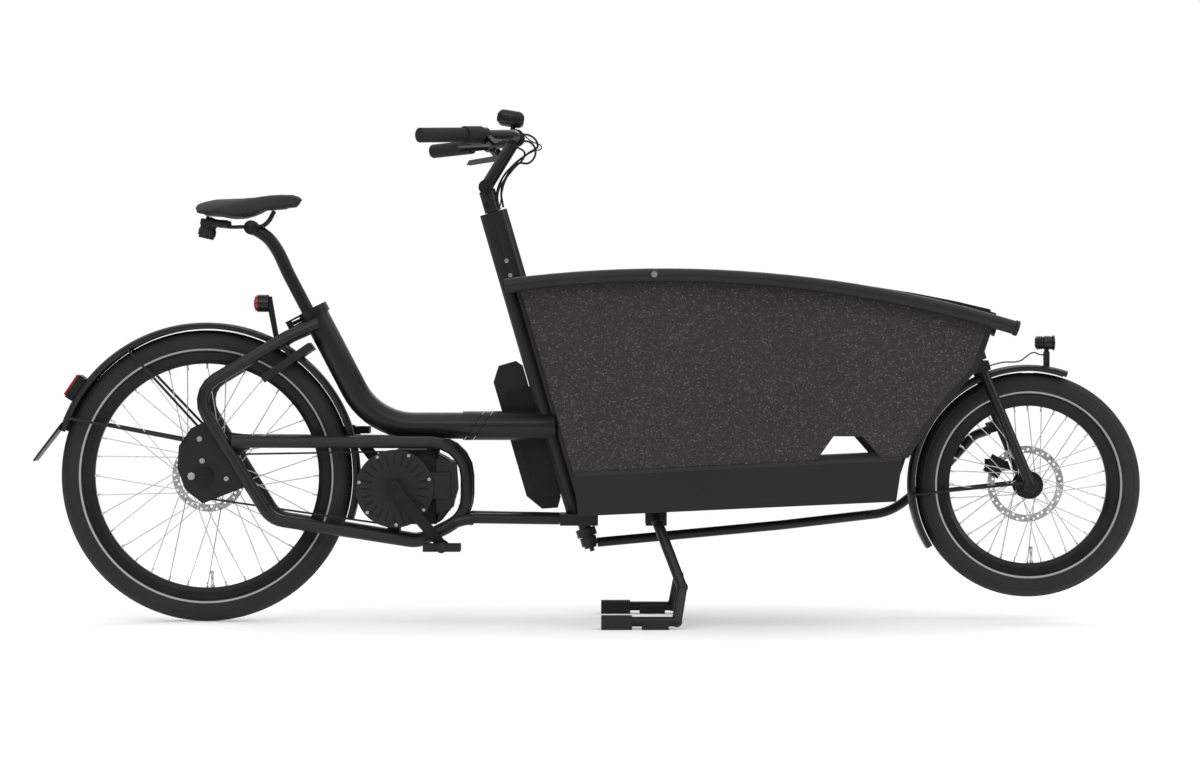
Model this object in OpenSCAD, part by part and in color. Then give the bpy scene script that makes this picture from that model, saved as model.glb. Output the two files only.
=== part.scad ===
/* [Stance] */
// Distance between the two wheel axles
wheelbase = 1887; // [1700:1:2300]
// Reach of the mudflap tip behind the rear axle
tail_reach = 396; // [390:1:480]
// Radius of the rear tyre
rear_tyre_r = 334.5; // [280:0.5:410]
// Radius of the front tyre
front_tyre_r = 258; // [240:0.5:265]
// Height of the front tyre above the ground on the stand
front_lift = 56; // [20:1:90]
// Lean of both steering axes from the vertical
head_angle = 16.2; // [14:0.1:18]

/* [Tyres and rims] */
// Radius of a tyre's round section
tyre_sec = 27.5; // [22:0.5:30]
// Rubber thickness of the tyres
tyre_wall = 4; // [2:0.5:6]
// Height of a rim from its inner face to the tyre seat
rim_depth = 22; // [14:1:26]
// Width of the rims
rim_w = 33; // [28:1:40]
// Spokes in each wheel
spoke_count = 36; // [24:4:36]
// Diameter of a spoke
spoke_d = 2.2; // [1.8:0.1:3]

/* [Brakes and hubs] */
// Radius of the rear brake disc
rear_disc_r = 85; // [70:1:100]
// Radius of the front brake disc
front_disc_r = 88; // [80:1:95]
// Thickness of the brake discs
disc_t = 2; // [1.6:0.1:3]
// Radius of the wheel axles
axle_r = 6; // [5:0.5:8]
// Radius of the rear gear hub
gear_hub_r = 50; // [42:1:56]
// Radius of the front hub shell
front_hub_r = 26; // [20:1:30]

/* [Frame tubes] */
// Radius of the big main tube
main_r = 30.5; // [26:0.5:34]
// Radius of the front tube ahead of the coupling
front_tube_r = 33.5; // [31:0.5:38]
// Radius of the rear loop tubes
loop_r = 14; // [11:0.5:15]
// Radius of the paired lower tubes
lower_r = 12; // [9:0.5:14]
// Wall of the frame tubes
tube_wall = 2.5; // [1.5:0.1:4]
// Half distance between the rear loops at the hub
loop_y = 76; // [76:0.5:82]
// Half distance between the rear loops at the motor
loop_motor_y = 62; // [58:0.5:66]

/* [Steering] */
// Length of the head rail along its axis
rail_len = 737; // [650:1:800]
// Radius of each lobe of the head rail
rail_lobe_r = 21; // [18:0.5:24]
// Half distance between the rail's lobes
rail_lobe_off = 11; // [9:0.5:13]
// Radius of the steering column
column_r = 14; // [11:0.5:15]
// Length of both steering arms
arm_len = 95; // [85:1:105]
// Radius of the tie rod
rod_r = 11; // [8:0.5:13]

/* [Handlebar] */
// Half width of the handlebar to its bar ends
bar_half = 340; // [300:1:380]
// Radius of the handlebar tube
bar_r = 11; // [10:0.1:12]
// Length of a grip
grip_len = 125; // [100:1:135]
// Radius of a grip
grip_r = 16.5; // [15:0.5:18]
// Length of the twist shifter
shifter_len = 48; // [40:1:55]

/* [Saddle] */
// Length of the saddle
saddle_len = 250; // [225:1:275]
// Width of the saddle at the back
saddle_w = 205; // [150:1:230]
// Radius of the seatpost
post_r = 15; // [13:0.1:16]
// Length of the seatpost held inside the seat tube
post_grip = 100; // [80:1:105]

/* [Drive] */
// Crank length from spindle to pedal axle
crank_len = 171; // [150:0.5:175]
// Radius of the crank spindle
spindle_r = 10; // [8:0.5:12]
// Pitch radius of the front pulley
front_pulley_r = 82; // [70:0.5:84]
// Pitch radius of the rear pulley
rear_pulley_r = 47; // [40:0.5:50]
// Width of the drive belt
belt_w = 11; // [9:0.5:12]
// Thickness of the drive belt
belt_t = 4; // [3:0.1:4.5]

/* [Cargo box] */
// Half width of the box at its rear top corner
box_half_w = 284; // [260:1:310]
// Thickness of the foam walls
foam_wall = 30; // [22:1:36]
// Radius of the box rail tube
box_rail_r = 15.5; // [13:0.5:17]
// Radius of the arc that the box rail follows
box_arc_r = 2700; // [2400:10:3400]
// Thickness of the floor panel
floor_t = 9; // [6:0.5:12]

/* [Stand] */
// Radius of the stand legs
leg_r = 12; // [9:0.5:13]
// Half distance between the feet
foot_y = 250; // [210:1:280]
// Height of a rubber foot pad
pad_h = 30; // [27:1:34]

/* [Mudguards] */
// Gap between a tyre and its mudguard
guard_gap = 15; // [12:0.5:18]
// Half width of the mudguards
guard_half_w = 34; // [31:0.5:36]
// Thickness of the mudguards
guard_t = 2.5; // [1.5:0.1:3]

/* [Hidden] */
fit = 0.3;
touch = 0.2;

overall = tail_reach + wheelbase + front_tyre_r;
rear_x = tail_reach - overall / 2;
front_x = rear_x + wheelbase;
rear_z = rear_tyre_r;
front_z = front_tyre_r + front_lift;
lean_s = sin(head_angle);
lean_c = cos(head_angle);

// Places measured from the rear axle and from the front axle
function R(x, y, z) = [rear_x + x, y, rear_z + z];
function F(x, y, z) = [front_x + x, y, front_z + z];

function unit(v) = v / norm(v);
function side_of(u) = abs(u.y) < 0.9 ? unit(cross(u, [0, 1, 0])) : unit(cross(u, [1, 0, 0]));

// A rigid placement from three unit directions and an origin
module placed(ex, ey, ez, o) {
    multmatrix([[ex.x, ey.x, ez.x, o.x], [ex.y, ey.y, ez.y, o.y], [ex.z, ey.z, ez.z, o.z], [0, 0, 0, 1]])
        children();
}

// Children drawn along +Z are laid from a towards b
module along(a, b) {
    u = unit(b - a);
    s = side_of(u);
    placed(s, cross(u, s), u, a) children();
}

module rod(a, b, r) {
    along(a, b) cylinder(h = norm(b - a), r = r, $fn = 48);
}

// Rounded paths: every inner point of p is turned through the bend radius in b
function turn(p, i) = acos(max(-1, min(1, unit(p[i] - p[i - 1]) * unit(p[i + 1] - p[i]))));
function setback(p, b, i) = b[i] * tan(turn(p, i) / 2);
function bend_station(p, b, i, a) =
    let (u = unit(p[i] - p[i - 1]), v = unit(p[i + 1] - p[i]), n = unit(v - u * (u * v)))
    let (c = p[i] - u * setback(p, b, i) + n * b[i])
    [c - n * b[i] * cos(a) + u * b[i] * sin(a), u * cos(a) + n * sin(a)];
function stations(p, b, steps) = concat(
    [[p[0], unit(p[1] - p[0])]],
    [for (i = [1 : 1 : len(p) - 2]) for (k = [0 : steps]) bend_station(p, b, i, turn(p, i) * k / steps)],
    [[p[len(p) - 1], unit(p[len(p) - 1] - p[len(p) - 2])]]);
function ring(st, r, ref, n) =
    let (e = unit(cross(st[1], ref)), f = cross(st[1], e))
    [for (j = [0 : n - 1]) st[0] + (e * cos(360 * j / n) + f * sin(360 * j / n)) * r];

// A round bar swept along a rounded path
module swept_rod(p, b, r, ref = [0, 1, 0], n = 16, steps = 6) {
    st = stations(p, b, steps);
    m = len(st);
    points = [for (s = st) each ring(s, r, ref, n)];
    sides = [for (k = [0 : m - 2]) for (j = [0 : n - 1]) let (q = (j + 1) % n)
        each [[k * n + j, (k + 1) * n + q, k * n + q], [k * n + j, (k + 1) * n + j, (k + 1) * n + q]]];
    polyhedron(points, concat(sides, [[for (j = [0 : n - 1]) j]],
        [[for (j = [n - 1 : -1 : 0]) (m - 1) * n + j]]), convexity = 8);
}

// A tube swept along a rounded path, open at both ends
module swept_tube(p, b, r, wall, ref = [0, 1, 0], n = 16, steps = 6) {
    st = stations(p, b, steps);
    m = len(st);
    points = concat([for (s = st) each ring(s, r, ref, n)], [for (s = st) each ring(s, r - wall, ref, n)]);
    h = m * n;
    outer = [for (k = [0 : m - 2]) for (j = [0 : n - 1]) let (q = (j + 1) % n)
        each [[k * n + j, (k + 1) * n + q, k * n + q], [k * n + j, (k + 1) * n + j, (k + 1) * n + q]]];
    inner = [for (f = outer) [f[2] + h, f[1] + h, f[0] + h]];
    last = (m - 1) * n;
    caps = [for (j = [0 : n - 1]) let (q = (j + 1) % n)
        each [[j, q, h + j], [h + j, q, h + q],
            [last + q, last + j, h + last + q], [h + last + q, last + j, h + last + j]]];
    polyhedron(points, concat(outer, inner, caps), convexity = 8);
}

module disc_y(o, y0, y1, r) {
    translate([o.x, y1, o.z]) rotate([90, 0, 0]) cylinder(h = y1 - y0, r = r, $fn = 96);
}

module ring_y(o, y0, y1, r_out, r_in) {
    difference() {
        disc_y(o, y0, y1, r_out);
        disc_y(o, y0 - 1, y1 + 1, r_in);
    }
}

// An outline in X and Z, drawn from y0 to y1
module plate_y(points, y0, y1) {
    translate([0, y1, 0]) rotate([90, 0, 0]) linear_extrude(y1 - y0) polygon(points);
}
function flat(list) = [for (p = list) [p.x, p.z]];

rear_axle = R(0, 0, 0);
front_axle = F(0, 0, 0);

// ---- Steering geometry ----
rail_foot = F(-1023, 0, -82);
function on_rear_axis(s) = rail_foot + [-lean_s * s, 0, lean_c * s];
crown = F(-109, 0, 258);
function on_front_axis(s) = crown + [-lean_s * s, 0, lean_c * s];
module rear_axis() { translate(rail_foot) rotate([0, -head_angle, 0]) children(); }
module front_axis() { translate(crown) rotate([0, -head_angle, 0]) children(); }
rear_arm_s = -42;
front_arm_s = -120;
arm_t = 10;
eye_t = 15;

// Straight solids in a turned frame: x and z outline, drawn from y0 to y1
module lobes(grow) {
    for (x = [-rail_lobe_off, rail_lobe_off])
        translate([x, 0, 0]) circle(r = rail_lobe_r + grow, $fn = 96);
}

// ---- Rear frame ----
seat_top = R(247, 0, 373.5);
main_corner = R(382, 0, 115);
seat_up = unit(seat_top - main_corner);
sleeve_x = front_x - 1298;
sleeve_len = 71;
main_bend = 156;

module main_tube() {
    color("#1b1b1d") swept_tube([seat_top, main_corner, [sleeve_x, 0, main_corner.z]],
        [0, main_bend, 0], main_r, tube_wall, n = 32, steps = 10);
}

loop_path = [R(259, main_r + loop_r + 0.5, 350), R(190, 58, 320), R(-25, loop_y, 192), R(153, loop_y, -97),
    R(487, loop_motor_y, -150), R(599, loop_motor_y, -95), R(599, loop_motor_y, 78), R(64, loop_y, 80)];
module loop() {
    swept_tube(loop_path, [0, 50, 60, 60, 60, 80, 80, 0], loop_r, tube_wall, steps = 5);
}
module left_loop() { color("#1b1b1d") loop(); }
module right_loop() { color("#1b1b1d") mirror([0, 1, 0]) loop(); }

plate_in = loop_y - loop_r - 1.2;
plate_t = 5;
bridge_r = 9;
motor_top_bridge = R(520, 0, 73);
motor_low_bridge = R(430, 0, -142);
dropout = [R(-31, 0, 110), R(-58, 0, 70), R(-62, 0, 20), R(-45, 0, -28), R(-4, 0, -62), R(52, 0, -40),
    R(92, 0, -24), R(62, 0, 30), R(98, 0, 66), R(98, 0, 92), R(30, 0, 100), R(6, 0, 128)];
module rear_brackets() {
    color("#202022") {
        for (side = [0, 1]) mirror([0, side, 0]) difference() {
            plate_y(flat(dropout), plate_in - plate_t, plate_in);
            disc_y(rear_axle, plate_in - 2 * plate_t, plate_in + plate_t, axle_r + 0.05);
        }
        for (b = [motor_top_bridge, motor_low_bridge])
            disc_y(b, -(loop_motor_y - loop_r), loop_motor_y - loop_r, bridge_r);
    }
}

nut_r = 20;
module rear_axle_set() {
    color("#2a2a2c") {
        disc_y(rear_axle, -plate_in - 14, plate_in + 14, axle_r);
        for (side = [0, 1]) mirror([0, side, 0])
            ring_y(rear_axle, plate_in + touch, plate_in + 12, nut_r, axle_r);
    }
}

// ---- Main tube coupling and front tube ----
seam_lean = 35;
seam_gap = 1;
module coupling_sleeve() {
    color("#161618") difference() {
        translate([sleeve_x, 0, main_corner.z]) rotate([0, 90, 0])
            cylinder(h = sleeve_len, r = front_tube_r, $fn = 96);
        translate([sleeve_x - 1, 0, main_corner.z]) rotate([0, 90, 0])
            cylinder(h = sleeve_len + 2, r = main_r - 6, $fn = 96);
        for (x = [0.36, 0.64]) translate([sleeve_x + sleeve_len * x, 0, main_corner.z])
            rotate([0, seam_lean, 0]) cube([seam_gap, 4 * front_tube_r, 4 * front_tube_r], center = true);
    }
}

front_tube_end = rail_foot.x - (main_corner.z - rail_foot.z) * tan(head_angle);
module front_tube() {
    color("#1b1b1d") difference() {
        translate([sleeve_x + sleeve_len, 0, main_corner.z]) rotate([0, 90, 0])
            cylinder(h = front_tube_end - sleeve_x - sleeve_len, r = front_tube_r, $fn = 96);
        translate([sleeve_x, 0, main_corner.z]) rotate([0, 90, 0])
            cylinder(h = 2 * sleeve_len + front_tube_end - sleeve_x, r = front_tube_r - tube_wall - 1,
                $fn = 96);
        rear_axis() linear_extrude(rail_len) lobes(touch);
    }
}

foot_back = front_x - 1075;
foot_front = front_x - 988;
foot_low = front_z - 92;
foot_high = front_z - 66;
foot_half = 60;
module lower_tubes() {
    color("#1b1b1d") for (side = [-1, 1]) difference() {
        rod(R(606, side * loop_motor_y, -95), [foot_back - 0.9, side * 46, foot_low + 14], lower_r);
        rod(R(580, side * loop_motor_y, -95), [foot_back + 9, side * 46, foot_low + 14], lower_r - tube_wall);
    }
}

module head_rail() {
    color("#1b1b1d") difference() {
        union() {
            rear_axis() linear_extrude(rail_len) lobes(0);
            translate([foot_back, -foot_half, foot_low])
                cube([foot_front - foot_back, 2 * foot_half, foot_high - foot_low]);
        }
        rear_axis() translate([0, 0, -60]) cylinder(h = rail_len + 120, r = column_r + 0.08, $fn = 96);
    }
}

// ---- Battery ----
battery_in = 38;
battery_out = 126;
module battery() {
    color("#141416") rear_axis() plate_y([[-84, 50], [-48, 42], [-36, 62], [-36, 380], [-48, 395], [-88, 395],
        [-110, 362], [-110, 88]], battery_in, battery_out);
}
module battery_cradle() {
    color("#202022") rear_axis() {
        plate_y([[-92, 70], [2, 70], [2, 330], [-92, 330]], front_tube_r + 0.5, battery_in - touch);
        for (s = [80, 296]) plate_y([[-14, s], [2, s], [2, s + 28], [-14, s + 28]],
            rail_lobe_r + touch, front_tube_r + 0.5);
    }
}

// ---- Drive ----
crank_axis = R(435, 0, -27.5);
belt_mid = 47.5;
belt_fit = 0.3;
cover_in = 66;
cover_out = 76;
crank_in = 90.5;
crank_t = 12;
motor_r = 83;
pedal_turn = -49.3;
// A lug of the casing that reaches a frame bridge
module ear(o, reach) {
    translate([o.x - 14, -30, min(o.z, o.z + reach)]) cube([28, 70, abs(reach)]);
}
module motor_casing() {
    color("#232325") difference() {
        union() {
            disc_y(crank_axis, -36, 56, motor_r);
            plate_y(flat([R(530, 0, -84), R(566, 0, -72), R(576, 0, -20), R(572, 0, 34), R(530, 0, 40)]),
                -cover_in + touch, 56);
            plate_y(flat([R(470, 0, -78), R(535, 0, -78), R(535, 0, 38), R(470, 0, 38)]), -36, 56);
            ear(motor_top_bridge + [0, 0, -bridge_r - fit], -34);
            ear(motor_low_bridge + [0, 0, bridge_r + fit], 32);
        }
        disc_y(crank_axis, -60, 60, spindle_r + 0.08);
    }
}

rib_count = 24;
module motor_cover() {
    color("#1a1a1c") {
        difference() {
            union() {
                disc_y(crank_axis, -cover_out, -cover_in, motor_r + 6);
                plate_y(flat([R(500, 0, -50), R(562, 0, -50), R(562, 0, 10), R(500, 0, 10)]),
                    -cover_in - 5, -cover_in);
            }
            disc_y(crank_axis, -cover_out - 1, -cover_in + 1, spindle_r + 8);
            for (k = [0 : rib_count - 1]) translate(crank_axis) rotate([0, 360 * k / rib_count, 0])
                translate([54, -cover_out - 1, -2]) cube([24, 4, 4]);
        }
    }
}

module pulley(o, r, holes) {
    difference() {
        disc_y(o, -belt_mid - belt_w / 2, -belt_mid + belt_w / 2, r);
        if (holes > 0) for (k = [0 : holes - 1]) translate(o) rotate([0, 360 * k / holes, 0])
            translate([r * 0.58, 0, 0]) rotate([90, 0, 0])
                translate([0, 0, belt_mid - belt_w]) cylinder(h = 2 * belt_w, r = r * 0.24, $fn = 48);
    }
}
module crank_arm() {
    c = crank_in;
    disc_y([0, 0, 0], -c - crank_t, -c, 19);
    disc_y([crank_len, 0, 0], -c - crank_t, -c, 14);
    plate_y([[0, -15], [crank_len, -11], [crank_len, 11], [0, 15]], -c - crank_t, -c);
    disc_y([crank_len, 0, 0], -pedal_out + 6, -c - 1, pedal_pin_r);
}
pedal_pin_r = 5;
pedal_in = 106;
pedal_out = 192;
module cranks() {
    color("#232325") {
        disc_y(crank_axis, -crank_in - 2, crank_in + 2, spindle_r);
        pulley(crank_axis, front_pulley_r, 6);
        translate(crank_axis) rotate([0, -pedal_turn, 0]) crank_arm();
        translate(crank_axis) rotate([0, -pedal_turn, 0]) rotate([0, 0, 180]) crank_arm();
    }
}
right_pedal_axis = crank_axis + crank_len * [cos(pedal_turn), 0, sin(pedal_turn)];
left_pedal_axis = crank_axis - crank_len * [cos(pedal_turn), 0, sin(pedal_turn)];
module pedal(o) {
    translate(o) difference() {
        union() {
            disc_y([0, 0, 0], -pedal_out, -pedal_in, 11);
            plate_y([[-42, -8], [42, -8], [42, 8], [-42, 8]], -pedal_out + 4, -pedal_in - 4);
        }
        disc_y([0, 0, 0], -pedal_out + 5, -pedal_in + 1, pedal_pin_r + 0.08);
        for (x = [-33, 17]) plate_y([[x, -9], [x + 16, -9], [x + 16, 9], [x, 9]], -pedal_out + 12,
            -pedal_in - 12);
    }
}
module pedal_right() { color("#1d1d1f") pedal(right_pedal_axis); }
module pedal_left() { color("#1d1d1f") mirror([0, 1, 0]) pedal(left_pedal_axis); }

// The belt wraps both pulleys and runs straight between them
belt_span = crank_axis - rear_axle;
belt_tilt = atan2(belt_span.z, belt_span.x);
belt_cone = asin((front_pulley_r - rear_pulley_r) / norm(belt_span));
belt_run = norm(belt_span) * cos(belt_cone);
module belt_arc(r, from, sweep) {
    rotate([90, 0, 0]) rotate([0, 0, from]) rotate_extrude(angle = sweep, $fn = 96)
        translate([r + belt_fit, -belt_w / 2]) square([belt_t, belt_w]);
}
module drive_belt() {
    color("#101010") translate([rear_axle.x, -belt_mid, rear_axle.z]) rotate([0, -belt_tilt, 0]) {
        belt_arc(rear_pulley_r, 90 + belt_cone, 180 - 2 * belt_cone);
        translate([norm(belt_span), 0, 0]) belt_arc(front_pulley_r, -90 - belt_cone, 180 + 2 * belt_cone);
        for (up = [0, 1]) mirror([0, 0, up]) rotate([0, belt_cone, 0])
            translate([0, -belt_w / 2, -rear_pulley_r - belt_fit - belt_t]) cube([belt_run, belt_w, belt_t]);
    }
}

// ---- Wheels ----
function bead_r(tyre_r) = tyre_r - 2 * tyre_sec;
module tyre(o, tyre_r) {
    seat = bead_r(tyre_r) + 4 + fit;
    translate(o) rotate([90, 0, 0]) rotate_extrude($fn = 180) difference() {
        intersection() {
            translate([tyre_r - tyre_sec, 0]) circle(r = tyre_sec, $fn = 96);
            translate([seat, -tyre_sec]) square([2 * tyre_sec, 2 * tyre_sec]);
        }
        intersection() {
            translate([tyre_r - tyre_sec, 0]) circle(r = tyre_sec - tyre_wall, $fn = 96);
            translate([seat + 5, -tyre_sec]) square([2 * tyre_sec, 2 * tyre_sec]);
        }
        translate([seat - 1, -7]) square([8, 14]);
    }
}
module rim(o, tyre_r) {
    b = bead_r(tyre_r);
    w = rim_w / 2;
    low = b - rim_depth;
    translate(o) rotate([90, 0, 0]) rotate_extrude($fn = 180)
        polygon([[low, -8], [low, 8], [low + 10, w - 2], [b + 4, w], [b + 4, w - 3], [b - 3, w - 4],
            [b - 8, 5], [b - 8, -5], [b - 3, 4 - w], [b + 4, 3 - w], [b + 4, -w], [low + 10, 2 - w]]);
}
// Crossed spokes from both flanges to the rim, kept apart where they pass
spoke_end_gap = 0.95;
spoke_cross = 38;
function polar_y(o, r, a, y) = [o.x + r * cos(a), o.y + y, o.z + r * sin(a)];
module spokes(o, tyre_r, flange_r, flange_y) {
    rim_in = bead_r(tyre_r) - rim_depth;
    for (k = [0 : spoke_count - 1]) {
        side = k % 2 * 2 - 1;
        lay = floor(k / 2) % 2 * 2 - 1;
        a = 360 * k / spoke_count;
        along_from = polar_y(o, flange_r + spoke_end_gap, a + lay * spoke_cross,
            side * flange_y + lay * spoke_d);
        along_to = polar_y(o, rim_in - spoke_end_gap, a, side * 3);
        along(along_from, along_to) cylinder(h = norm(along_to - along_from), r = spoke_d / 2, $fn = 16);
    }
}
module disc_rotor(o, r, y) {
    color("#b8b8b4") difference() {
        ring_y(o, y - disc_t / 2, y + disc_t / 2, r, 20);
        for (k = [0 : 5]) translate([o.x, y, o.z]) rotate([0, 60 * k, 0]) translate([r * 0.52, 0, 0])
            rotate([90, 0, 0]) cylinder(h = 4 * disc_t, r = r * 0.19, $fn = 48, center = true);
    }
}
rear_flange_r = gear_hub_r + 4;
rear_flange_y = 33;
rear_disc_y = 44;
module hub(o, r, half, flange_r, flange_y, disc_y0) {
    difference() {
        union() {
            disc_y(o, -half, half, r);
            for (s = [-1, 1]) disc_y(o, s * flange_y - 2, s * flange_y + 2, flange_r);
            disc_y(o, half - 1, disc_y0 - disc_t / 2 - touch, 30);
            disc_y(o, half - 1, disc_y0 + 3, 20 - touch);
        }
        disc_y(o, -half - 20, half + 20, axle_r + 0.06);
    }
}
rear_hub_half = 37;
module rear_tyre() { color("#1f1f21") tyre(rear_axle, rear_tyre_r); }
module rear_rim() { color("#161617") rim(rear_axle, rear_tyre_r); }
module rear_spokes() { color("#c2c2c0") spokes(rear_axle, rear_tyre_r, rear_flange_r, rear_flange_y); }
module rear_hub() { color("#1c1c1e")
    hub(rear_axle, gear_hub_r, rear_hub_half, rear_flange_r, rear_flange_y, rear_disc_y); }
module rear_disc() { disc_rotor(rear_axle, rear_disc_r, rear_disc_y); }
module rear_pulley() {
    color("#8a8a88") difference() {
        union() {
            pulley(rear_axle, rear_pulley_r, 0);
            ring_y(rear_axle, -belt_mid + belt_w / 2 - 1, -rear_hub_half - fit, 24, axle_r);
        }
        disc_y(rear_axle, -60, -30, axle_r + 0.06);
    }
}
front_flange_r = front_hub_r + 6;
front_flange_y = 32;
front_disc_y = 45;
front_hub_half = 38;
fork_y = 66;
fork_r = 12;
module front_tyre() { color("#1f1f21") tyre(front_axle, front_tyre_r); }
module front_rim() { color("#161617") rim(front_axle, front_tyre_r); }
module front_spokes() { color("#c2c2c0") spokes(front_axle, front_tyre_r, front_flange_r, front_flange_y); }
module front_hub() { color("#1c1c1e")
    hub(front_axle, front_hub_r, front_hub_half, front_flange_r, front_flange_y, front_disc_y); }
module front_disc() { disc_rotor(front_axle, front_disc_r, front_disc_y); }
module front_axle_pin() { color("#2a2a2c") disc_y(front_axle, -fork_y - 14, fork_y + 14, axle_r); }

// A brake caliper straddles the disc's rim at an angle about its axle
module caliper(o, disc_r, y, a) {
    translate([o.x, y, o.z]) rotate([0, -a, 0]) difference() {
        translate([disc_r - 26, -8, -22]) cube([38, 19, 44]);
        translate([disc_r - 27, -disc_t / 2 - 0.8, -23]) cube([29, disc_t + 1.6, 46]);
    }
}
rear_caliper_a = 62;
front_caliper_a = 150;
module rear_caliper() { color("#19191b") caliper(rear_axle, rear_disc_r, rear_disc_y, rear_caliper_a); }
module front_caliper() {
    color("#19191b") {
        caliper(front_axle, front_disc_r, front_disc_y, front_caliper_a);
        plate_y(flat([F(-92, 0, 30), F(-31, 0, 30), F(-39, 0, 52), F(-92, 0, 58)]), front_disc_y + 11,
            fork_y + 4);
    }
}

// ---- Mudguards ----
function polar(r, a) = [r * cos(a), 0, r * sin(a)];
module guard(o, tyre_r, from, sweep) {
    r = tyre_r + guard_gap;
    w = guard_half_w;
    translate(o) rotate([90, 0, 0]) rotate([0, 0, from]) rotate_extrude(angle = sweep, $fn = 180)
        polygon([[r - 12, w - guard_t], [r - 6, w], [r + guard_t - 4, w], [r + guard_t, w - 9],
            [r + guard_t, 9 - w],
            [r + guard_t - 4, -w], [r - 6, -w], [r - 12, guard_t - w], [r - 7, guard_t + 0.5 - w],
            [r - 3, guard_t + 1 - w], [r, 10 - w], [r, w - 10], [r - 3, w - guard_t - 1], [r - 7,
                w - guard_t - 0.5]]);
}
rear_guard_r = rear_tyre_r + guard_gap + guard_t;
front_guard_r = front_tyre_r + guard_gap + guard_t;
rear_guard_from = -16.5;
rear_guard_to = 162.6;
stay_r = 3;
stay_out = guard_half_w + stay_r + touch;
module rear_mudguard() {
    color("#202022") {
        guard(rear_axle, rear_tyre_r, rear_guard_from, rear_guard_to - rear_guard_from);
        a = rear_axle + polar(rear_guard_r + touch, rear_guard_to - 3);
        b = rear_axle + polar(rear_guard_r + touch, rear_guard_to - 0.5);
        tip = R(-tail_reach, 0, 36);
        plate_y([[a.x, a.z], [b.x, b.z], [tip.x + 3, tip.z - 2], [tip.x, tip.z], [tip.x + 12, tip.z + 17],
            [a.x - 5, a.z - 6]], -guard_half_w, guard_half_w);
        for (side = [-1, 1]) {
            high = rear_axle + polar(rear_guard_r - 11, 121.5) + [0, side * stay_out, 0];
            low = rear_axle + polar(rear_guard_r - 11, 157) + [0, side * stay_out, 0];
            rod(high, R(-12, side * (plate_in + stay_r + 1), 113), stay_r);
            rod(low, R(-45, side * (plate_in + stay_r + 1), 82), stay_r);
        }
    }
}
front_guard_from = 71;
front_guard_to = 212;
light_pin = front_axle + [43, 0, front_guard_r + 24];
module front_mudguard() {
    color("#202022") {
        guard(front_axle, front_tyre_r, front_guard_from, front_guard_to - front_guard_from);
        for (side = [-1, 1]) rod(F(-front_guard_r + 7, side * stay_out, -22), F(-17.4,
            side * (fork_y - 3), 5), stay_r);
        difference() {
            union() {
                translate([light_pin.x - 6, -12, light_pin.z - 33]) cube([12, 24, 19]);
                for (y = [-12, 9]) translate([light_pin.x - 6, y, light_pin.z - 27]) cube([12, 3, 33]);
            }
            disc_y(front_axle, -20, 20, front_guard_r + touch);
        }
        disc_y(light_pin, -9, 9, 3);
    }
}
light_r = 19;
module headlight() {
    color("#18181a") {
        difference() {
            union() {
                translate(light_pin + [-6, -8.5, -6]) cube([12, 17, 22]);
                translate(light_pin + [-26, 0, 28]) rotate([0, 90, 0])
                    cylinder(h = 46, r = light_r, $fn = 64);
            }
            disc_y(light_pin, -20, 20, 3.08);
            translate(light_pin + [16, 0, 28]) rotate([0, 90, 0]) cylinder(h = 6, r = light_r - 3, $fn = 64);
        }
    }
}

// ---- Rear lamps and lock ----
lamp_back = rear_x + 142;
lamp_low = rear_z + 376;
tail_base = rear_axle + polar(rear_guard_r + touch, 62.8);
module rear_lamps() {
    color("#b3131a") {
        translate(R(118, 0, 396)) rotate([0, 90, 0]) cylinder(h = 24, r = 20, $fn = 64);
        translate(rear_axle) rotate([0, -146, 0]) translate([rear_guard_r + touch, -26, -30])
            cube([18, 52, 60]);
    }
    color("#1a1a1c") plate_y([[tail_base.x - 7, tail_base.z + 4], [tail_base.x + 5, tail_base.z - 1],
        [lamp_back + 7, lamp_low + 36], [lamp_back + touch, lamp_low + 36], [lamp_back + touch,
            lamp_low]], -9, 9);
}
lock_top = R(230, 0, 290);
lock_end = R(132, 0, 222);
lock_in = guard_half_w + 10;
lock_out = lock_in + 14;
lock_lug_at = 38;
module ring_lock() {
    u = unit(lock_end - lock_top);
    stay = loop_path[1] + unit(loop_path[2] - loop_path[1]) * 20;
    color("#19191b") {
        placed(u, [0, 1, 0], cross(u, [0, 1, 0]), lock_top) difference() {
            translate([-14, -lock_out, -9]) cube([norm(lock_end - lock_top) + 14, 2 * lock_out, 18]);
            translate([10, -lock_in, -10]) cube([norm(lock_end - lock_top) + 20, 2 * lock_in, 20]);
        }
        for (m = [0, 1]) mirror([0, m, 0]) {
            lug = lock_top + u * lock_lug_at + [0, (lock_in + lock_out) / 2, 0];
            rod(lug, stay - unit(stay - lug) * (loop_r + fit), 5);
        }
    }
}

// ---- Seatpost, saddle and collar, in the seat tube's own frame ----
post_back = 11;
post_top = 214;
module seat_frame() {
    ex = unit(cross([0, 1, 0], seat_up));
    placed(ex, [0, 1, 0], seat_up, seat_top) children();
}
lug_back = 62;
lever_reach = 40;
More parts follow.
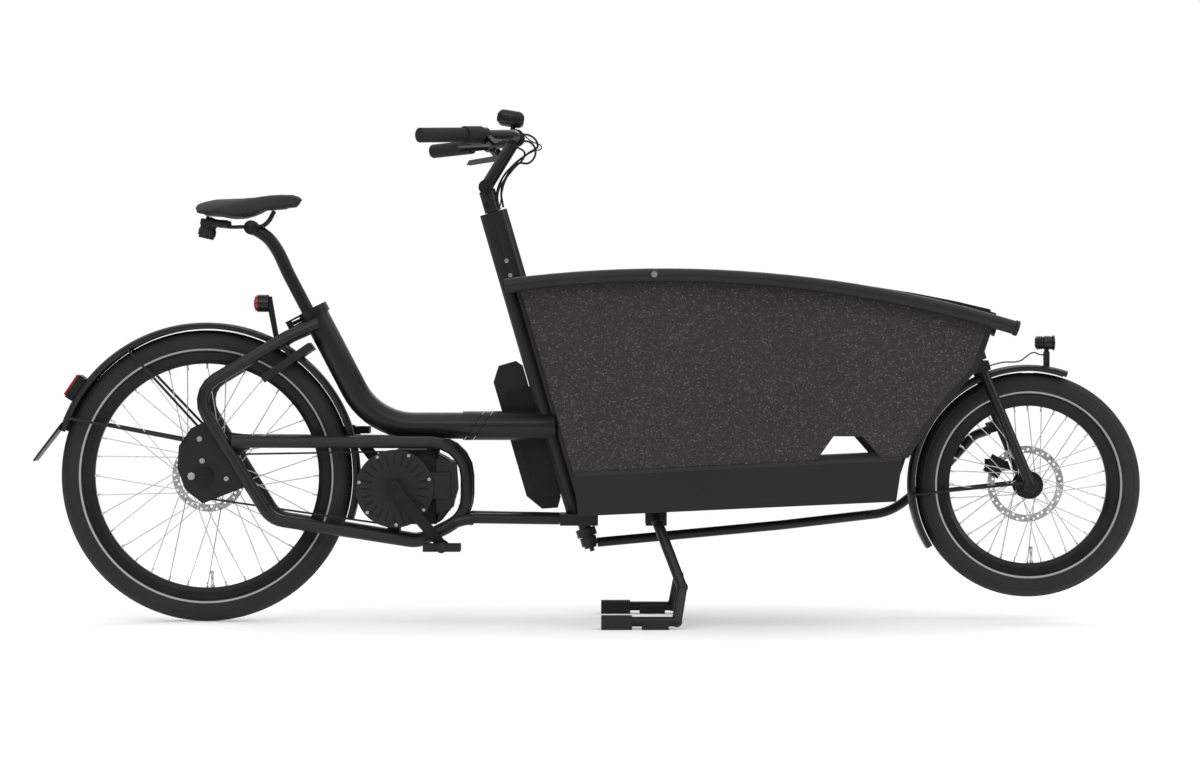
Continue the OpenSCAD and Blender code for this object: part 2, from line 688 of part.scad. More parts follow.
// Closed, the lever lies this far forward of square to the frame
lever_tuck = 40;
module seat_collar() {
    color("#19191b") seat_frame() {
        difference() {
            union() {
                translate([0, 0, -8]) cylinder(h = 20, r = main_r + 5, $fn = 96);
                for (z = [-8, 8]) translate([-lug_back - 7, -7, z]) cube([lug_back - main_r + 5, 14, 4]);
            }
            translate([0, 0, -9]) cylinder(h = 9 + touch, r = main_r + touch, $fn = 96);
            translate([-post_back, 0, -30]) cylinder(h = 60, r = post_r + 0.08, $fn = 96);
        }
        translate([-lug_back, 0, -6]) cylinder(h = 16, r = 3, $fn = 32);
    }
}
module collar_lever() {
    color("#2b2b2d") seat_frame() difference() {
        union() {
            translate([-lug_back, 0, -3.7]) cylinder(h = 11.4, r = 7, $fn = 48);
            translate([-lug_back, 0, -2]) rotate([0, 0, -lever_tuck]) translate([-4, 0, 0])
                cube([7, lever_reach, 8]);
        }
        translate([-lug_back, 0, -20]) cylinder(h = 40, r = 3.08, $fn = 32);
    }
}
saddle_back = R(-28, 0, 0).x;
saddle_base = rear_z + 590;
saddle_low = 8;
saddle_rail_r = 3.5;
module seatpost() {
    rail_z = saddle_base + saddle_low - fit - saddle_rail_r;
    head = seat_top + seat_up * (post_top + 3) - unit(cross([0, 1, 0], seat_up)) * post_back;
    color("#1b1b1d") {
        seat_frame() translate([-post_back, 0, -post_grip])
            cylinder(h = post_grip + post_top, r = post_r, $fn = 64);
        translate(head + [-24, -25, 0]) cube([48, 50, rail_z - head.z]);
        for (y = [-22, 22]) rod([saddle_back + 35, y, rail_z], [saddle_back + saddle_len - 50, y,
            rail_z], saddle_rail_r);
    }
}
module saddle() {
    color("#18181a") hull() {
        for (y = [-1, 1]) translate([saddle_back + 55, y * (saddle_w / 2 - 55), saddle_base + saddle_low])
            cylinder(h = 34, r = 55, $fn = 32);
        translate([saddle_back + saddle_len - 20, 0, saddle_base + 20]) cylinder(h = 34, r = 20, $fn = 32);
    }
}

// ---- Handlebar, drawn for the right side and mirrored ----
bar_mid = F(-1176, 0, 796);
bar_corner = bar_mid + [0, -150, 0];
bar_tip = F(-1378, -bar_half, 784);
grip_in = unit(bar_corner - bar_tip);
grip_ahead = unit(cross(grip_in, [0, 0, 1]));
grip_up = cross(grip_ahead, grip_in);
lever_out = unit(grip_ahead * 0.8 - grip_up * 0.6);
shifter_at = grip_len + 1;
clamp_at = shifter_at + shifter_len + 3;
clamp_w = 14;
function mirror_y(p) = [p.x, -p.y, p.z];
module on_grip(s) { placed(lever_out, cross(grip_in, lever_out), grip_in, bar_tip + grip_in * s) children(); }
module handlebar() {
    color("#19191b") {
        swept_rod([bar_tip, bar_corner, mirror_y(bar_corner), mirror_y(bar_tip)], [0, 50, 50, 0], bar_r,
            ref = [0, 0, 1], n = 20);
    }
}
module lever_clamp() {
    difference() {
        union() {
            on_grip(clamp_at) cylinder(h = clamp_w, r = bar_r + 6, $fn = 64);
            on_grip(clamp_at) for (y = [-9, 5]) translate([8, y, 0]) cube([38, 4, clamp_w]);
        }
        on_grip(clamp_at - 1) cylinder(h = clamp_w + 2, r = bar_r + 0.1, $fn = 64);
    }
    on_grip(clamp_at + clamp_w / 2) translate([36, 0, 0]) rotate([90, 0, 0])
        cylinder(h = 12, r = 3, $fn = 32, center = true);
}
module lever_clamps() { color("#19191b") for (m = [0, 1]) mirror([0, m, 0]) lever_clamp(); }
module brake_lever() {
    on_grip(clamp_at + clamp_w / 2) translate([36, 0, 0]) difference() {
        translate([0, 4.6, 0]) rotate([90, 0, 0]) linear_extrude(9.2)
            polygon([[-6, 6], [8, 6], [18, -26], [22, -112], [18, -119], [13, -112], [8, -30], [-6, -6]]);
        rotate([90, 0, 0]) cylinder(h = 20, r = 3.08, $fn = 32, center = true);
    }
}
module brake_lever_right() { color("#242426") brake_lever(); }
module brake_lever_left() { color("#242426") mirror([0, 1, 0]) brake_lever(); }
module grips() {
    color("#141414") for (m = [0, 1]) mirror([0, m, 0]) on_grip(-4) difference() {
        cylinder(h = grip_len + 4, r = grip_r, $fn = 64);
        translate([0, 0, 4 - touch]) cylinder(h = grip_len + 2, r = bar_r + 0.1, $fn = 64);
    }
}
module twist_shifter() {
    color("#1a1a1a") on_grip(shifter_at) difference() {
        cylinder(h = shifter_len, r = grip_r + 3, $fn = 64);
        translate([0, 0, -1]) cylinder(h = shifter_len + 2, r = bar_r + 0.08, $fn = 64);
    }
}

// ---- Steering column, stem and cables ----
column_top = rail_len + 46;
stem_pivot = on_rear_axis(rail_len + 60);
module steer_arm(s, reach) {
    translate([0, 0, s - arm_t]) difference() {
        union() {
            translate([-13, 0, 0]) cube([26, reach, arm_t]);
            translate([0, reach, 0]) cylinder(h = arm_t, r = 13.5, $fn = 64);
        }
        translate([0, reach, -1]) cylinder(h = arm_t + 2, r = 5.5, $fn = 48);
    }
}
module steering_column() {
    color("#1b1b1d") rear_axis() {
        difference() {
            union() {
                translate([0, 0, -66]) cylinder(h = column_top + 66, r = column_r, $fn = 96);
                translate([0, 0, -38]) cylinder(h = 18, r = 23, $fn = 96);
                steer_arm(rear_arm_s, arm_len);
                translate([0, 0, -60]) cylinder(h = 20, r = 19, $fn = 96);
            }
            translate([0, arm_len, rear_arm_s - 20]) cylinder(h = 40, r = 5.5, $fn = 48);
        }
    }
}
module stem() {
    color("#1b1b1d") difference() {
        union() {
            rear_axis() translate([0, 0, rail_len + 2]) cylinder(h = 50, r = 19, $fn = 96);
            disc_y(stem_pivot, -20, 20, 17);
            rod(stem_pivot, bar_mid, 14.5);
            disc_y(bar_mid, -25, 25, 19.5);
        }
        rear_axis() translate([0, 0, rail_len - 10])
            cylinder(h = 10 + 46 + touch, r = column_r + 0.05, $fn = 96);
        disc_y(bar_mid, -30, 30, bar_r + 0.1);
    }
}
module display() {
    color("#101012") {
        translate(bar_mid + [-10, 0, 46]) rotate([0, 24, 0]) translate([-30, -34, -9]) cube([60, 68, 20]);
        difference() {
            union() {
                translate(bar_mid + [-8, 27, -4]) cube([16, 7, 43]);
                disc_y(bar_mid, 27, 34, 18);
            }
            disc_y(bar_mid, 20, 40, bar_r + 0.1);
            translate(bar_mid + [-10, 0, 46]) rotate([0, 24, 0]) translate([-40, -44, -9 - touch])
                cube([80, 88, 40]);
        }
    }
}
module control_cables() {
    color("#121212") swept_rod([F(-1167, -36, 784.4), F(-1122, -30, 780), F(-1118, -14, 742), F(-1160,
        0, 728),
        F(-1192, 0, 690), F(-1202, 0, 638)], [0, 12, 14, 16, 16, 0], 5, n = 10, steps = 4);
}

// ---- Tie rod ----
rod_eye_s = rear_arm_s - arm_t - eye_t / 2 - fit;
front_eye_s = front_arm_s - arm_t - eye_t / 2 - fit;
rod_back = on_rear_axis(rod_eye_s) + [0, arm_len, 0];
rod_front = on_front_axis(front_eye_s) + [0, arm_len, 0];
rod_bow = 187;
rod_points = [rod_back, F(-560, arm_len + 8, -98), F(-300, rod_bow, -72), F(-190, rod_bow, 16),
    F(-110, rod_bow - 46, 110), rod_front];
eye_r = 14;
back_eye_gap = 2.6;
front_eye_gap = 1.1;
module tie_rod() {
    back_dir = unit(rod_points[1] - rod_back);
    front_dir = unit(rod_front - rod_points[4]);
    color("#19191b") {
        for (o = [rod_back, rod_front]) translate(o) rotate([0, -head_angle, 0])
            cylinder(h = eye_t, r = eye_r, $fn = 64, center = true);
        translate(rod_back) rotate([0, -head_angle, 0])
            cylinder(h = eye_t + 2 * arm_t + 4, r = 5.4, $fn = 48, center = true);
        swept_rod([rod_back + back_dir * (eye_r + back_eye_gap), rod_points[1], rod_points[2],
            rod_points[3], rod_points[4],
            rod_front - front_dir * (eye_r + front_eye_gap)], [0, 150, 120, 60, 50, 0], rod_r, n = 16);
    }
}

// ---- Fork ----
module fork() {
    color("#1b1b1d") {
        difference() {
            union() {
                front_axis() {
                    translate([-18, -fork_y - 13, 2]) cube([36, 2 * fork_y + 26, 22]);
                    translate([0, 0, 20]) cylinder(h = 128, r = column_r, $fn = 96);
                    translate([-10, fork_y - 6, front_arm_s - arm_t]) cube([34, arm_len - fork_y + 6, arm_t]);
                    translate([0, arm_len, front_arm_s - arm_t]) cylinder(h = arm_t, r = 13.5, $fn = 64);
                }
                for (side = [-1, 1]) {
                    rod(on_front_axis(12) + [0, side * fork_y, 0], F(0, side * fork_y, 0), fork_r);
                    disc_y([front_axle.x, 0, front_axle.z], side * fork_y - 8, side * fork_y + 8, 17);
                }
            }
            disc_y(front_axle, -fork_y - 20, fork_y + 20, axle_r + 0.05);
            front_axis() translate([0, arm_len, front_arm_s - 30]) cylinder(h = 60, r = 8, $fn = 48);
        }
    }
}

// ---- Cargo box ----
box_taper = 0.0604;
box_flare = 0.07;
side_n = unit([box_taper, 1, -box_flare]);
side_back = unit([-1, box_taper, 0]);
side_up = cross(side_n, side_back);
side_o = F(-1160, box_half_w, 456);
module side_plane(out) { placed(side_back, side_up, side_n, side_o + side_n * out) children(); }
module half_space(out) { side_plane(out) translate([-2500, -2500, -3500]) cube([5000, 5000, 3500]); }
module between_sides(out) {
    intersection() {
        children();
        half_space(out);
        mirror([0, 1, 0]) half_space(out);
    }
}
arc_top = F(-839, 0, 477);
function arc_z(x, lift) = arc_top.z - box_arc_r + sqrt(pow(box_arc_r + lift, 2) - pow(x - arc_top.x, 2));
box_back = F(-1043, 0, 36);
box_front = F(-305, 0, 70);
function floor_z(x) = box_back.z + (x - box_back.x) * (box_front.z - box_back.z) / (box_front.x - box_back.x);
back_slope = 0.2886;
function back_x(z) = box_back.x - (z - box_back.z) * back_slope;
front_edge = [F(-305, 0, 70), F(-262, 0, 134), F(-218, 0, 194), F(-176, 0, 240), F(-150, 0, 270),
    F(-134, 0, 310),
    F(-121, 0, 350), F(-108, 0, 396)];
arc_steps = 14;
function top_points(x0, x1, lift, slope) =
    [for (k = [0 : arc_steps]) let (x = x0 + (x1 - x0) * k / arc_steps) [x, arc_z(x, lift)
        + slope * max(0, x - front_x + 460)]];
// The side outline between two heights above the floor line and the arc
module box_outline(low, lift, slope, back_in, front_in) {
    top_x1 = front_edge[7].x - front_in;
    difference() {
        polygon(concat(
            [[box_back.x + back_in - low * back_slope, floor_z(box_back.x) + low]],
            [for (p = front_edge) [p.x - front_in, p.z + (p == front_edge[0] ? low : 0)]],
            [[top_x1, arc_top.z + 100], [back_x(arc_top.z + 100) + back_in, arc_top.z + 100]]));
        polygon(concat(top_points(front_x - 1300, front_x, lift, slope), [[front_x, arc_top.z + 300],
            [front_x - 1300, arc_top.z + 300]]));
    }
}
module outline_y(half) { translate([0, half, 0]) rotate([90, 0, 0]) linear_extrude(2 * half) children(); }
recess_low = F(-330, 0, -24);
recess_high = F(-186, 0, 414);
recess_half = 130;
plate_thick = 10;
module front_recess(grow) {
    d = (recess_high - recess_low);
    a = recess_low - d * 0.2;
    b = recess_high + d * 0.3;
    plate_y([[a.x - grow, a.z], [a.x + 500, a.z], [a.x + 500, b.z], [b.x - grow, b.z]],
        -recess_half - grow, recess_half + grow);
}
arch = [F(-497, 0, 30), F(-497, 0, 64), F(-460, 0, 116), F(-394, 0, 116), F(-352, 0, 68), F(-352, 0, 30)];
cap_low = -8;
cap_high = 12;
module inner_space() {
    between_sides(-foam_wall) {
        outline_y(400) box_outline(-40, 80, 0, foam_wall / cos(16), foam_wall + 4);
    }
}
module walls_only() {
    difference() {
        children();
        difference() {
            inner_space();
            front_recess(foam_wall);
        }
        front_recess(touch);
        rear_axis() translate([0, 0, -100]) linear_extrude(rail_len + 200) lobes(1);
    }
}
module box_foam() {
    color("#3a342f") difference() {
        walls_only() between_sides(0) outline_y(400) box_outline(touch, cap_low - touch, 0, 0, 0);
        plate_y(flat(arch), -400, 400);
    }
}
module rim_coping() {
    walls_only() between_sides(0) intersection() {
        outline_y(400) box_outline(0, cap_high, 0.035, 0, 0);
        plate_y(concat(top_points(front_x - 1300, front_x, cap_low, 0), [[front_x, arc_top.z + 300],
            [front_x - 1300, arc_top.z + 300]]), -400, 400);
    }
}
rail_back_a = asin(357 / box_arc_r);
rail_front_a = asin(784 / box_arc_r);
module side_rail() {
    side_plane(box_rail_r + fit) translate([(side_o.x - arc_top.x)
        / -side_back.x * 1, (arc_top.z - side_o.z) / side_up.z - box_arc_r, 0]) {
        rotate([0, 0, 90 - rail_back_a]) rotate_extrude(angle = rail_back_a + rail_front_a, $fn = 360)
            translate([box_arc_r, 0]) circle(r = box_rail_r, $fn = 64);
        rotate([0, 0, 90 + rail_front_a]) translate([box_arc_r, touch, 0]) rotate([-90, 0, 0])
            cylinder(h = 8, r = box_rail_r + 2, $fn = 64);
    }
}
module box_rim() {
    color("#17171a") {
        rim_coping();
        for (m = [0, 1]) mirror([0, m, 0]) {
            side_rail();
            rod(F(-1182, rail_lobe_r + touch, 456), F(-1182, box_half_w - 1, 456), box_rail_r);
        }
    }
}
skirt = 2;
module tray_solid(top, bottom, out) {
    between_sides(out) plate_y([[box_back.x, floor_z(box_back.x)
        + top], [front_x - 1032, front_z - 62 + bottom],
        [front_x - 318, front_z - 31 + bottom], [box_front.x, floor_z(box_front.x) + top]], -400, 400);
}
tray_wall = 3;
module box_tray() {
    color("#141415") difference() {
        tray_solid(-floor_t - touch, 0, skirt);
        intersection() {
            tray_solid(20, tray_wall, skirt - tray_wall);
            translate([front_x - 1024, -400, 0]) cube([694, 800, 1000]);
        }
        front_recess(touch);
        rear_axis() translate([0, 0, -100]) linear_extrude(rail_len + 200) lobes(1);
    }
}
bolt_r = 3.25;
bolt_spacing = 260;
floor_mid = front_x - 680;
module floor_panel() {
    color("#2a2622") difference() {
        between_sides(skirt) plate_y([[box_back.x, floor_z(box_back.x)], [box_back.x + 3,
            floor_z(box_back.x) - floor_t],
            [box_front.x - 1, floor_z(box_front.x)
                - floor_t], [box_front.x, floor_z(box_front.x)]], -400, 400);
        front_recess(touch);
        rear_axis() translate([0, 0, -100]) linear_extrude(rail_len + 200) lobes(1);
        floor_frame() for (x = [-1, 1]) for (y = [-1, 1])
            translate([x * bolt_spacing / 2, y * bolt_spacing / 2, -30])
                cylinder(h = 60, r = bolt_r, $fn = 48);
    }
}
floor_tilt = atan2(box_front.z - box_back.z, box_front.x - box_back.x);
module floor_frame() { translate([floor_mid, 0, floor_z(floor_mid)]) rotate([0, -floor_tilt, 0]) children(); }

head_tube_from = 27;
head_tube_to = 138;
trim_t = 13;
module front_plate() {
    color("#161617") {
        difference() {
            union() {
                plate_y([[recess_low.x, recess_low.z], [recess_low.x + plate_thick, recess_low.z],
                    [recess_high.x + plate_thick, recess_high.z], [recess_high.x, recess_high.z]],
                    -recess_half + touch, recess_half - touch);
                front_axis() {
                    translate([0, 0, head_tube_from])
                        cylinder(h = head_tube_to - head_tube_from, r = 23, $fn = 96);
                    plate_y([[0, 60], [-85, 60], [-48, 130], [0, 130]], -15, 15);
                }
            }
            front_axis() cylinder(h = 200, r = column_r + 0.08, $fn = 96);
        }
        difference() {
            between_sides(0) plate_y(concat([for (p = front_edge) [p.x + touch, p.z]],
                [for (k = [len(front_edge) - 1 : -1 : 0])
                    [front_edge[k].x + trim_t, front_edge[k].z - 4]]), -400, 400);
            translate([front_x - 600, -recess_half - touch, 0])
                cube([700, 2 * recess_half + 2 * touch, 2000]);
        }
    }
}

// ---- Stand ----
stand_pivot = F(-855, 0, -77);
pivot_r = 11;
hinge_in = 40;
hinge_w = 22;
foot_z = 17;
module stand_bracket() {
    color("#19191b") for (side = [-1, 1]) difference() {
        plate_y([[stand_pivot.x - 24, stand_pivot.z - 15], [stand_pivot.x + 24, stand_pivot.z - 15],
            [stand_pivot.x + 24, tray_low(stand_pivot.x + 24)
                - touch], [stand_pivot.x - 24, tray_low(stand_pivot.x - 24) - touch]],
            side * (hinge_in + hinge_w / 2) - hinge_w / 2, side * (hinge_in + hinge_w / 2) + hinge_w / 2);
        disc_y(stand_pivot, -200, 200, pivot_r + 0.08);
    }
}
function tray_low(x) = front_z - 62 + (x - front_x + 1032) * 31 / 714;
foot_back_x = front_x - 966;
module stand_legs() {
    color("#19191b") {
        disc_y(stand_pivot, -158, 158, pivot_r);
        for (side = [-1, 1]) {
            top = stand_pivot + [0, side * 150, 0];
            knee = [front_x - 799, side * (foot_y - 35), foot_z + 74];
            heel = [front_x - 812, side * foot_y, foot_z];
            rod(top, knee, leg_r);
            translate(top) sphere(r = leg_r + 1.2, $fn = 48);
            translate(knee) sphere(r = leg_r + 1.2, $fn = 48);
            rod(knee, heel, leg_r - 0.5);
            translate(heel) sphere(r = leg_r + 0.6, $fn = 48);
            rod(heel, [foot_back_x, side * foot_y, foot_z], leg_r - 1);
        }
    }
}
module pad(x0, x1, h, side) {
    difference() {
        translate([front_x + x0, side * foot_y - 24, 0]) cube([x1 - x0, 48, h]);
        translate([front_x + x0 - 5, side * foot_y, foot_z]) rotate([0, 90, 0])
            cylinder(h = x1 - x0 + 10, r = leg_r - 1 + touch, $fn = 64);
    }
}
module stand_pads() {
    color("#141414") for (side = [-1, 1]) {
        pad(-981, -912, pad_h, side);
        pad(-890, -830, pad_h - 9, side);
    }
}

main_tube();
left_loop();
right_loop();
rear_brackets();
rear_axle_set();
coupling_sleeve();
front_tube();
lower_tubes();
head_rail();
battery();
battery_cradle();
motor_casing();
motor_cover();
cranks();
pedal_right();
pedal_left();
drive_belt();
rear_tyre();
rear_rim();
rear_spokes();
rear_hub();
rear_disc();
rear_pulley();
front_tyre();
front_rim();
front_spokes();
front_hub();
front_disc();
front_axle_pin();
rear_caliper();
front_caliper();
rear_mudguard();
front_mudguard();
headlight();
rear_lamps();
ring_lock();
seat_collar();
collar_lever();
seatpost();
saddle();
handlebar();
lever_clamps();
brake_lever_right();
brake_lever_left();
grips();
twist_shifter();
steering_column();
stem();
display();
control_cables();
tie_rod();
fork();
box_foam();
box_rim();
box_tray();
floor_panel();
front_plate();
stand_bracket();
stand_legs();
stand_pads();
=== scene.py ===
# %% [markdown]
# # A front-loading cargo bicycle
# The bicycle arrives as a finished mechanical frame: tubes, wheels, box, stand and steering.
# This lesson gives every part its finish, and models the soft and detailed pieces.
# Everything is in metres. +X is forward, +Y is the rider's left and +Z is up.

# %% Load the frame
import math

import bpy
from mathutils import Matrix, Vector


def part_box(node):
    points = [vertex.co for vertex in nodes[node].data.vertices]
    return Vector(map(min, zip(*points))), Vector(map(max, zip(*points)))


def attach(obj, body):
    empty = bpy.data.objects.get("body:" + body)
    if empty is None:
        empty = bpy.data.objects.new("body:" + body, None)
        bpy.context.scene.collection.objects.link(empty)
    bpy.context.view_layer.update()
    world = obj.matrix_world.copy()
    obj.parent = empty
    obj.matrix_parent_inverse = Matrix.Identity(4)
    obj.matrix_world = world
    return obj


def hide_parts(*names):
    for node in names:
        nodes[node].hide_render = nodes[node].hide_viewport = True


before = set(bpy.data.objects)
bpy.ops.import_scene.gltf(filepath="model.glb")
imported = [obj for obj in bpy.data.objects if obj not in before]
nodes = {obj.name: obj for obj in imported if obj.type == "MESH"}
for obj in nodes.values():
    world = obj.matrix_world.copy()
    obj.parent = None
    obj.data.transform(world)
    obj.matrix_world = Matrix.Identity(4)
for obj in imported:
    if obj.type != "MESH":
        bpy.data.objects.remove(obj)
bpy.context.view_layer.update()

# %% [markdown]
# ## Camera and studio
# A long lens far away keeps the two wheels almost flat to the picture, as a catalogue view does.
# The camera is level with the box rim and looks straight across the bicycle.

# %% Camera
CAMERA_PLACE = Vector((0.029, -8.5, 0.635))
CAMERA_PITCH = math.radians(89.48)
lens_data = bpy.data.cameras.new("catalogue_camera")
lens_data.sensor_width = 36.0
lens_data.lens = 110.9
lens_data.clip_end = 100.0
camera = bpy.data.objects.new("catalogue_camera", lens_data)
camera.location = CAMERA_PLACE
camera.rotation_euler = (CAMERA_PITCH, 0.0, 0.0)
bpy.context.scene.collection.objects.link(camera)
bpy.context.scene.camera = camera
print("camera at", tuple(round(v, 3) for v in CAMERA_PLACE))

# %% Small helpers
TAU = 2.0 * math.pi


def deselect():
    """Nothing stays selected, so that an operator acts on its own piece only."""
    if bpy.context.object is not None and bpy.context.object.mode != "OBJECT":
        bpy.ops.object.mode_set(mode="OBJECT")
    bpy.ops.object.select_all(action="DESELECT")


def pick(*pieces):
    """Selects these pieces, and makes the first one active."""
    deselect()
    for piece in pieces:
        piece.select_set(True)
    bpy.context.view_layer.objects.active = pieces[0]


def apply_all(piece):
    """Applies each modifier in its order."""
    pick(piece)
    for modifier in list(piece.modifiers):
        bpy.ops.object.modifier_apply(modifier=modifier.name)


def settle(piece, name, body, material, angle=35.0):
    """Puts the piece's place into its mesh, then gives it a name, a finish and a body to ride on."""
    pick(piece)
    bpy.ops.object.transform_apply(location=True, rotation=True, scale=True)
    piece.name = name
    piece.data.name = name
    piece.data.materials.clear()
    piece.data.materials.append(material)
    bpy.ops.object.shade_smooth_by_angle(angle=math.radians(angle))
    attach(piece, body)
    print(name, "faces:", len(piece.data.polygons), "rides on", body)
    return piece


def join(pieces):
    """Joins the pieces into the first one."""
    pick(*pieces)
    bpy.ops.object.join()
    return bpy.context.object


def middle(node):
    """The centre of a node's box."""
    low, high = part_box(node)
    return (low + high) / 2


# %% Studio
def area_light(name, place, aim, size, power):
    """One soft box that faces its aim."""
    data = bpy.data.lights.new(name, "AREA")
    data.shape = "RECTANGLE"
    data.size, data.size_y = size
    data.energy = power
    light = bpy.data.objects.new(name, data)
    light.location = place
    light.rotation_euler = (Vector(aim) - Vector(place)).to_track_quat("-Z", "Y").to_euler()
    bpy.context.scene.collection.objects.link(light)
    return light


FLOOR_WIDTH, FLOOR_DEPTH = 7.0, 5.7
FLOOR_GLOW = 0.17
deselect()
bpy.ops.mesh.primitive_plane_add(size=1, location=(0, -0.35, 0))
floor = bpy.context.object
floor.scale = (FLOOR_WIDTH, FLOOR_DEPTH, 1)
bpy.ops.object.transform_apply(location=True, rotation=True, scale=True)
floor.name = "studio_floor"
floor_paint = bpy.data.materials.new("studio_floor_paint")
floor_paint.use_nodes = True
floor_shader = floor_paint.node_tree.nodes["Principled BSDF"]
floor_shader.inputs["Base Color"].default_value = (0.93, 0.93, 0.93, 1)
floor_shader.inputs["Roughness"].default_value = 0.9
floor_shader.inputs["Specular IOR Level"].default_value = 0.0
floor_shader.inputs["Emission Color"].default_value = (1, 1, 1, 1)
floor_shader.inputs["Emission Strength"].default_value = FLOOR_GLOW
floor.data.materials.append(floor_paint)

area_light("ceiling", (0.0, -0.5, 5.0), (0, -0.5, 0), (20.0, 14.0), 860)
area_light("front_softbox", (-0.9, -5.4, 3.2), (0, 0, 0.6), (3.0, 1.0), 48)
area_light("rear_softbox", (0.8, 4.2, 3.0), (0, 0, 0.6), (3.6, 1.6), 50)
area_light("nose_softbox", (4.2, -1.8, 1.8), (0.3, 0, 0.6), (0.8, 2.0), 30)

# The air is white to the camera, and dimmer to the paint, so that black stays black.
world = bpy.data.worlds.new("studio_air")
world.use_nodes = True
air = world.node_tree.nodes
seen = air["Background"]
seen.inputs["Color"].default_value = (1, 1, 1, 1)
seen.inputs["Strength"].default_value = 1.0
fill = air.new("ShaderNodeBackground")
fill.inputs["Color"].default_value = (1, 1, 1, 1)
fill.inputs["Strength"].default_value = 0.22
choice = air.new("ShaderNodeMixShader")
path = air.new("ShaderNodeLightPath")
world.node_tree.links.new(path.outputs["Is Camera Ray"], choice.inputs["Fac"])
world.node_tree.links.new(fill.outputs["Background"], choice.inputs[1])
world.node_tree.links.new(seen.outputs["Background"], choice.inputs[2])
world.node_tree.links.new(choice.outputs["Shader"], air["World Output"].inputs["Surface"])
bpy.context.scene.world = world
bpy.context.scene.view_settings.view_transform = "Standard"
print("studio ready")

# %% [markdown]
# ## Finishes
# The whole bicycle is black, so what tells its parts apart is how each black catches light:
# satin powder coat on tubes, a duller cast metal on the motor, moulded plastic on guards.
# One node group makes the fine texture that all of them share. Each material then sets its own
# grain size and depth, so that the group is built once and read once.

# %% Shared grain group
def build_grain_group():
    """Colour, roughness and height that vary over a surface, at a size set by each material."""
    tree = bpy.data.node_groups.new("surface_grain", "ShaderNodeTree")
    sockets = (("Place", "INPUT", "NodeSocketVector"), ("Grain Scale", "INPUT", "NodeSocketFloat"),
        ("Cloud Scale", "INPUT", "NodeSocketFloat"), ("Dark", "INPUT", "NodeSocketColor"),
        ("Light", "INPUT", "NodeSocketColor"), ("Rough Low", "INPUT", "NodeSocketFloat"),
        ("Rough High", "INPUT", "NodeSocketFloat"), ("Colour", "OUTPUT", "NodeSocketColor"),
        ("Roughness", "OUTPUT", "NodeSocketFloat"), ("Height", "OUTPUT", "NodeSocketFloat"))
    for name, way, kind in sockets:
        tree.interface.new_socket(name=name, in_out=way, socket_type=kind)
    add = tree.nodes.new
    link = tree.links.new
    inside, outside = add("NodeGroupInput"), add("NodeGroupOutput")
    grain, cloud = add("ShaderNodeTexNoise"), add("ShaderNodeTexNoise")
    grain.inputs["Detail"].default_value = 3.0
    cloud.inputs["Detail"].default_value = 4.0
    link(inside.outputs["Place"], grain.inputs["Vector"])
    link(inside.outputs["Place"], cloud.inputs["Vector"])
    link(inside.outputs["Grain Scale"], grain.inputs["Scale"])
    link(inside.outputs["Cloud Scale"], cloud.inputs["Scale"])
    blend = add("ShaderNodeMath")
    blend.operation = "MULTIPLY_ADD"
    blend.inputs[1].default_value = 0.5
    half = add("ShaderNodeMath")
    half.operation = "MULTIPLY"
    half.inputs[1].default_value = 0.5
    link(grain.outputs["Fac"], half.inputs[0])
    link(cloud.outputs["Fac"], blend.inputs[0])
    link(half.outputs[0], blend.inputs[2])
    spread = add("ShaderNodeMapRange")
    spread.inputs["From Min"].default_value = 0.35
    spread.inputs["From Max"].default_value = 0.65
    link(blend.outputs[0], spread.inputs["Value"])
    tint = add("ShaderNodeMix")
    tint.data_type = "RGBA"
    link(spread.outputs["Result"], tint.inputs["Factor"])
    link(inside.outputs["Dark"], tint.inputs["A"])
    link(inside.outputs["Light"], tint.inputs["B"])
    link(tint.outputs["Result"], outside.inputs["Colour"])
    rough = add("ShaderNodeMapRange")
    link(blend.outputs[0], rough.inputs["Value"])
    rough.inputs["From Min"].default_value = 0.3
    rough.inputs["From Max"].default_value = 0.7
    link(inside.outputs["Rough Low"], rough.inputs["To Min"])
    link(inside.outputs["Rough High"], rough.inputs["To Max"])
    link(rough.outputs["Result"], outside.inputs["Roughness"])
    link(grain.outputs["Fac"], outside.inputs["Height"])
    return tree


grain_group = build_grain_group()


def grey(value, warm=0.0):
    """A neutral colour, or one a little warmer."""
    return (value * (1 + warm), value, value * (1 - warm), 1)


BLACK_PAINT_SPECULAR = 0.3


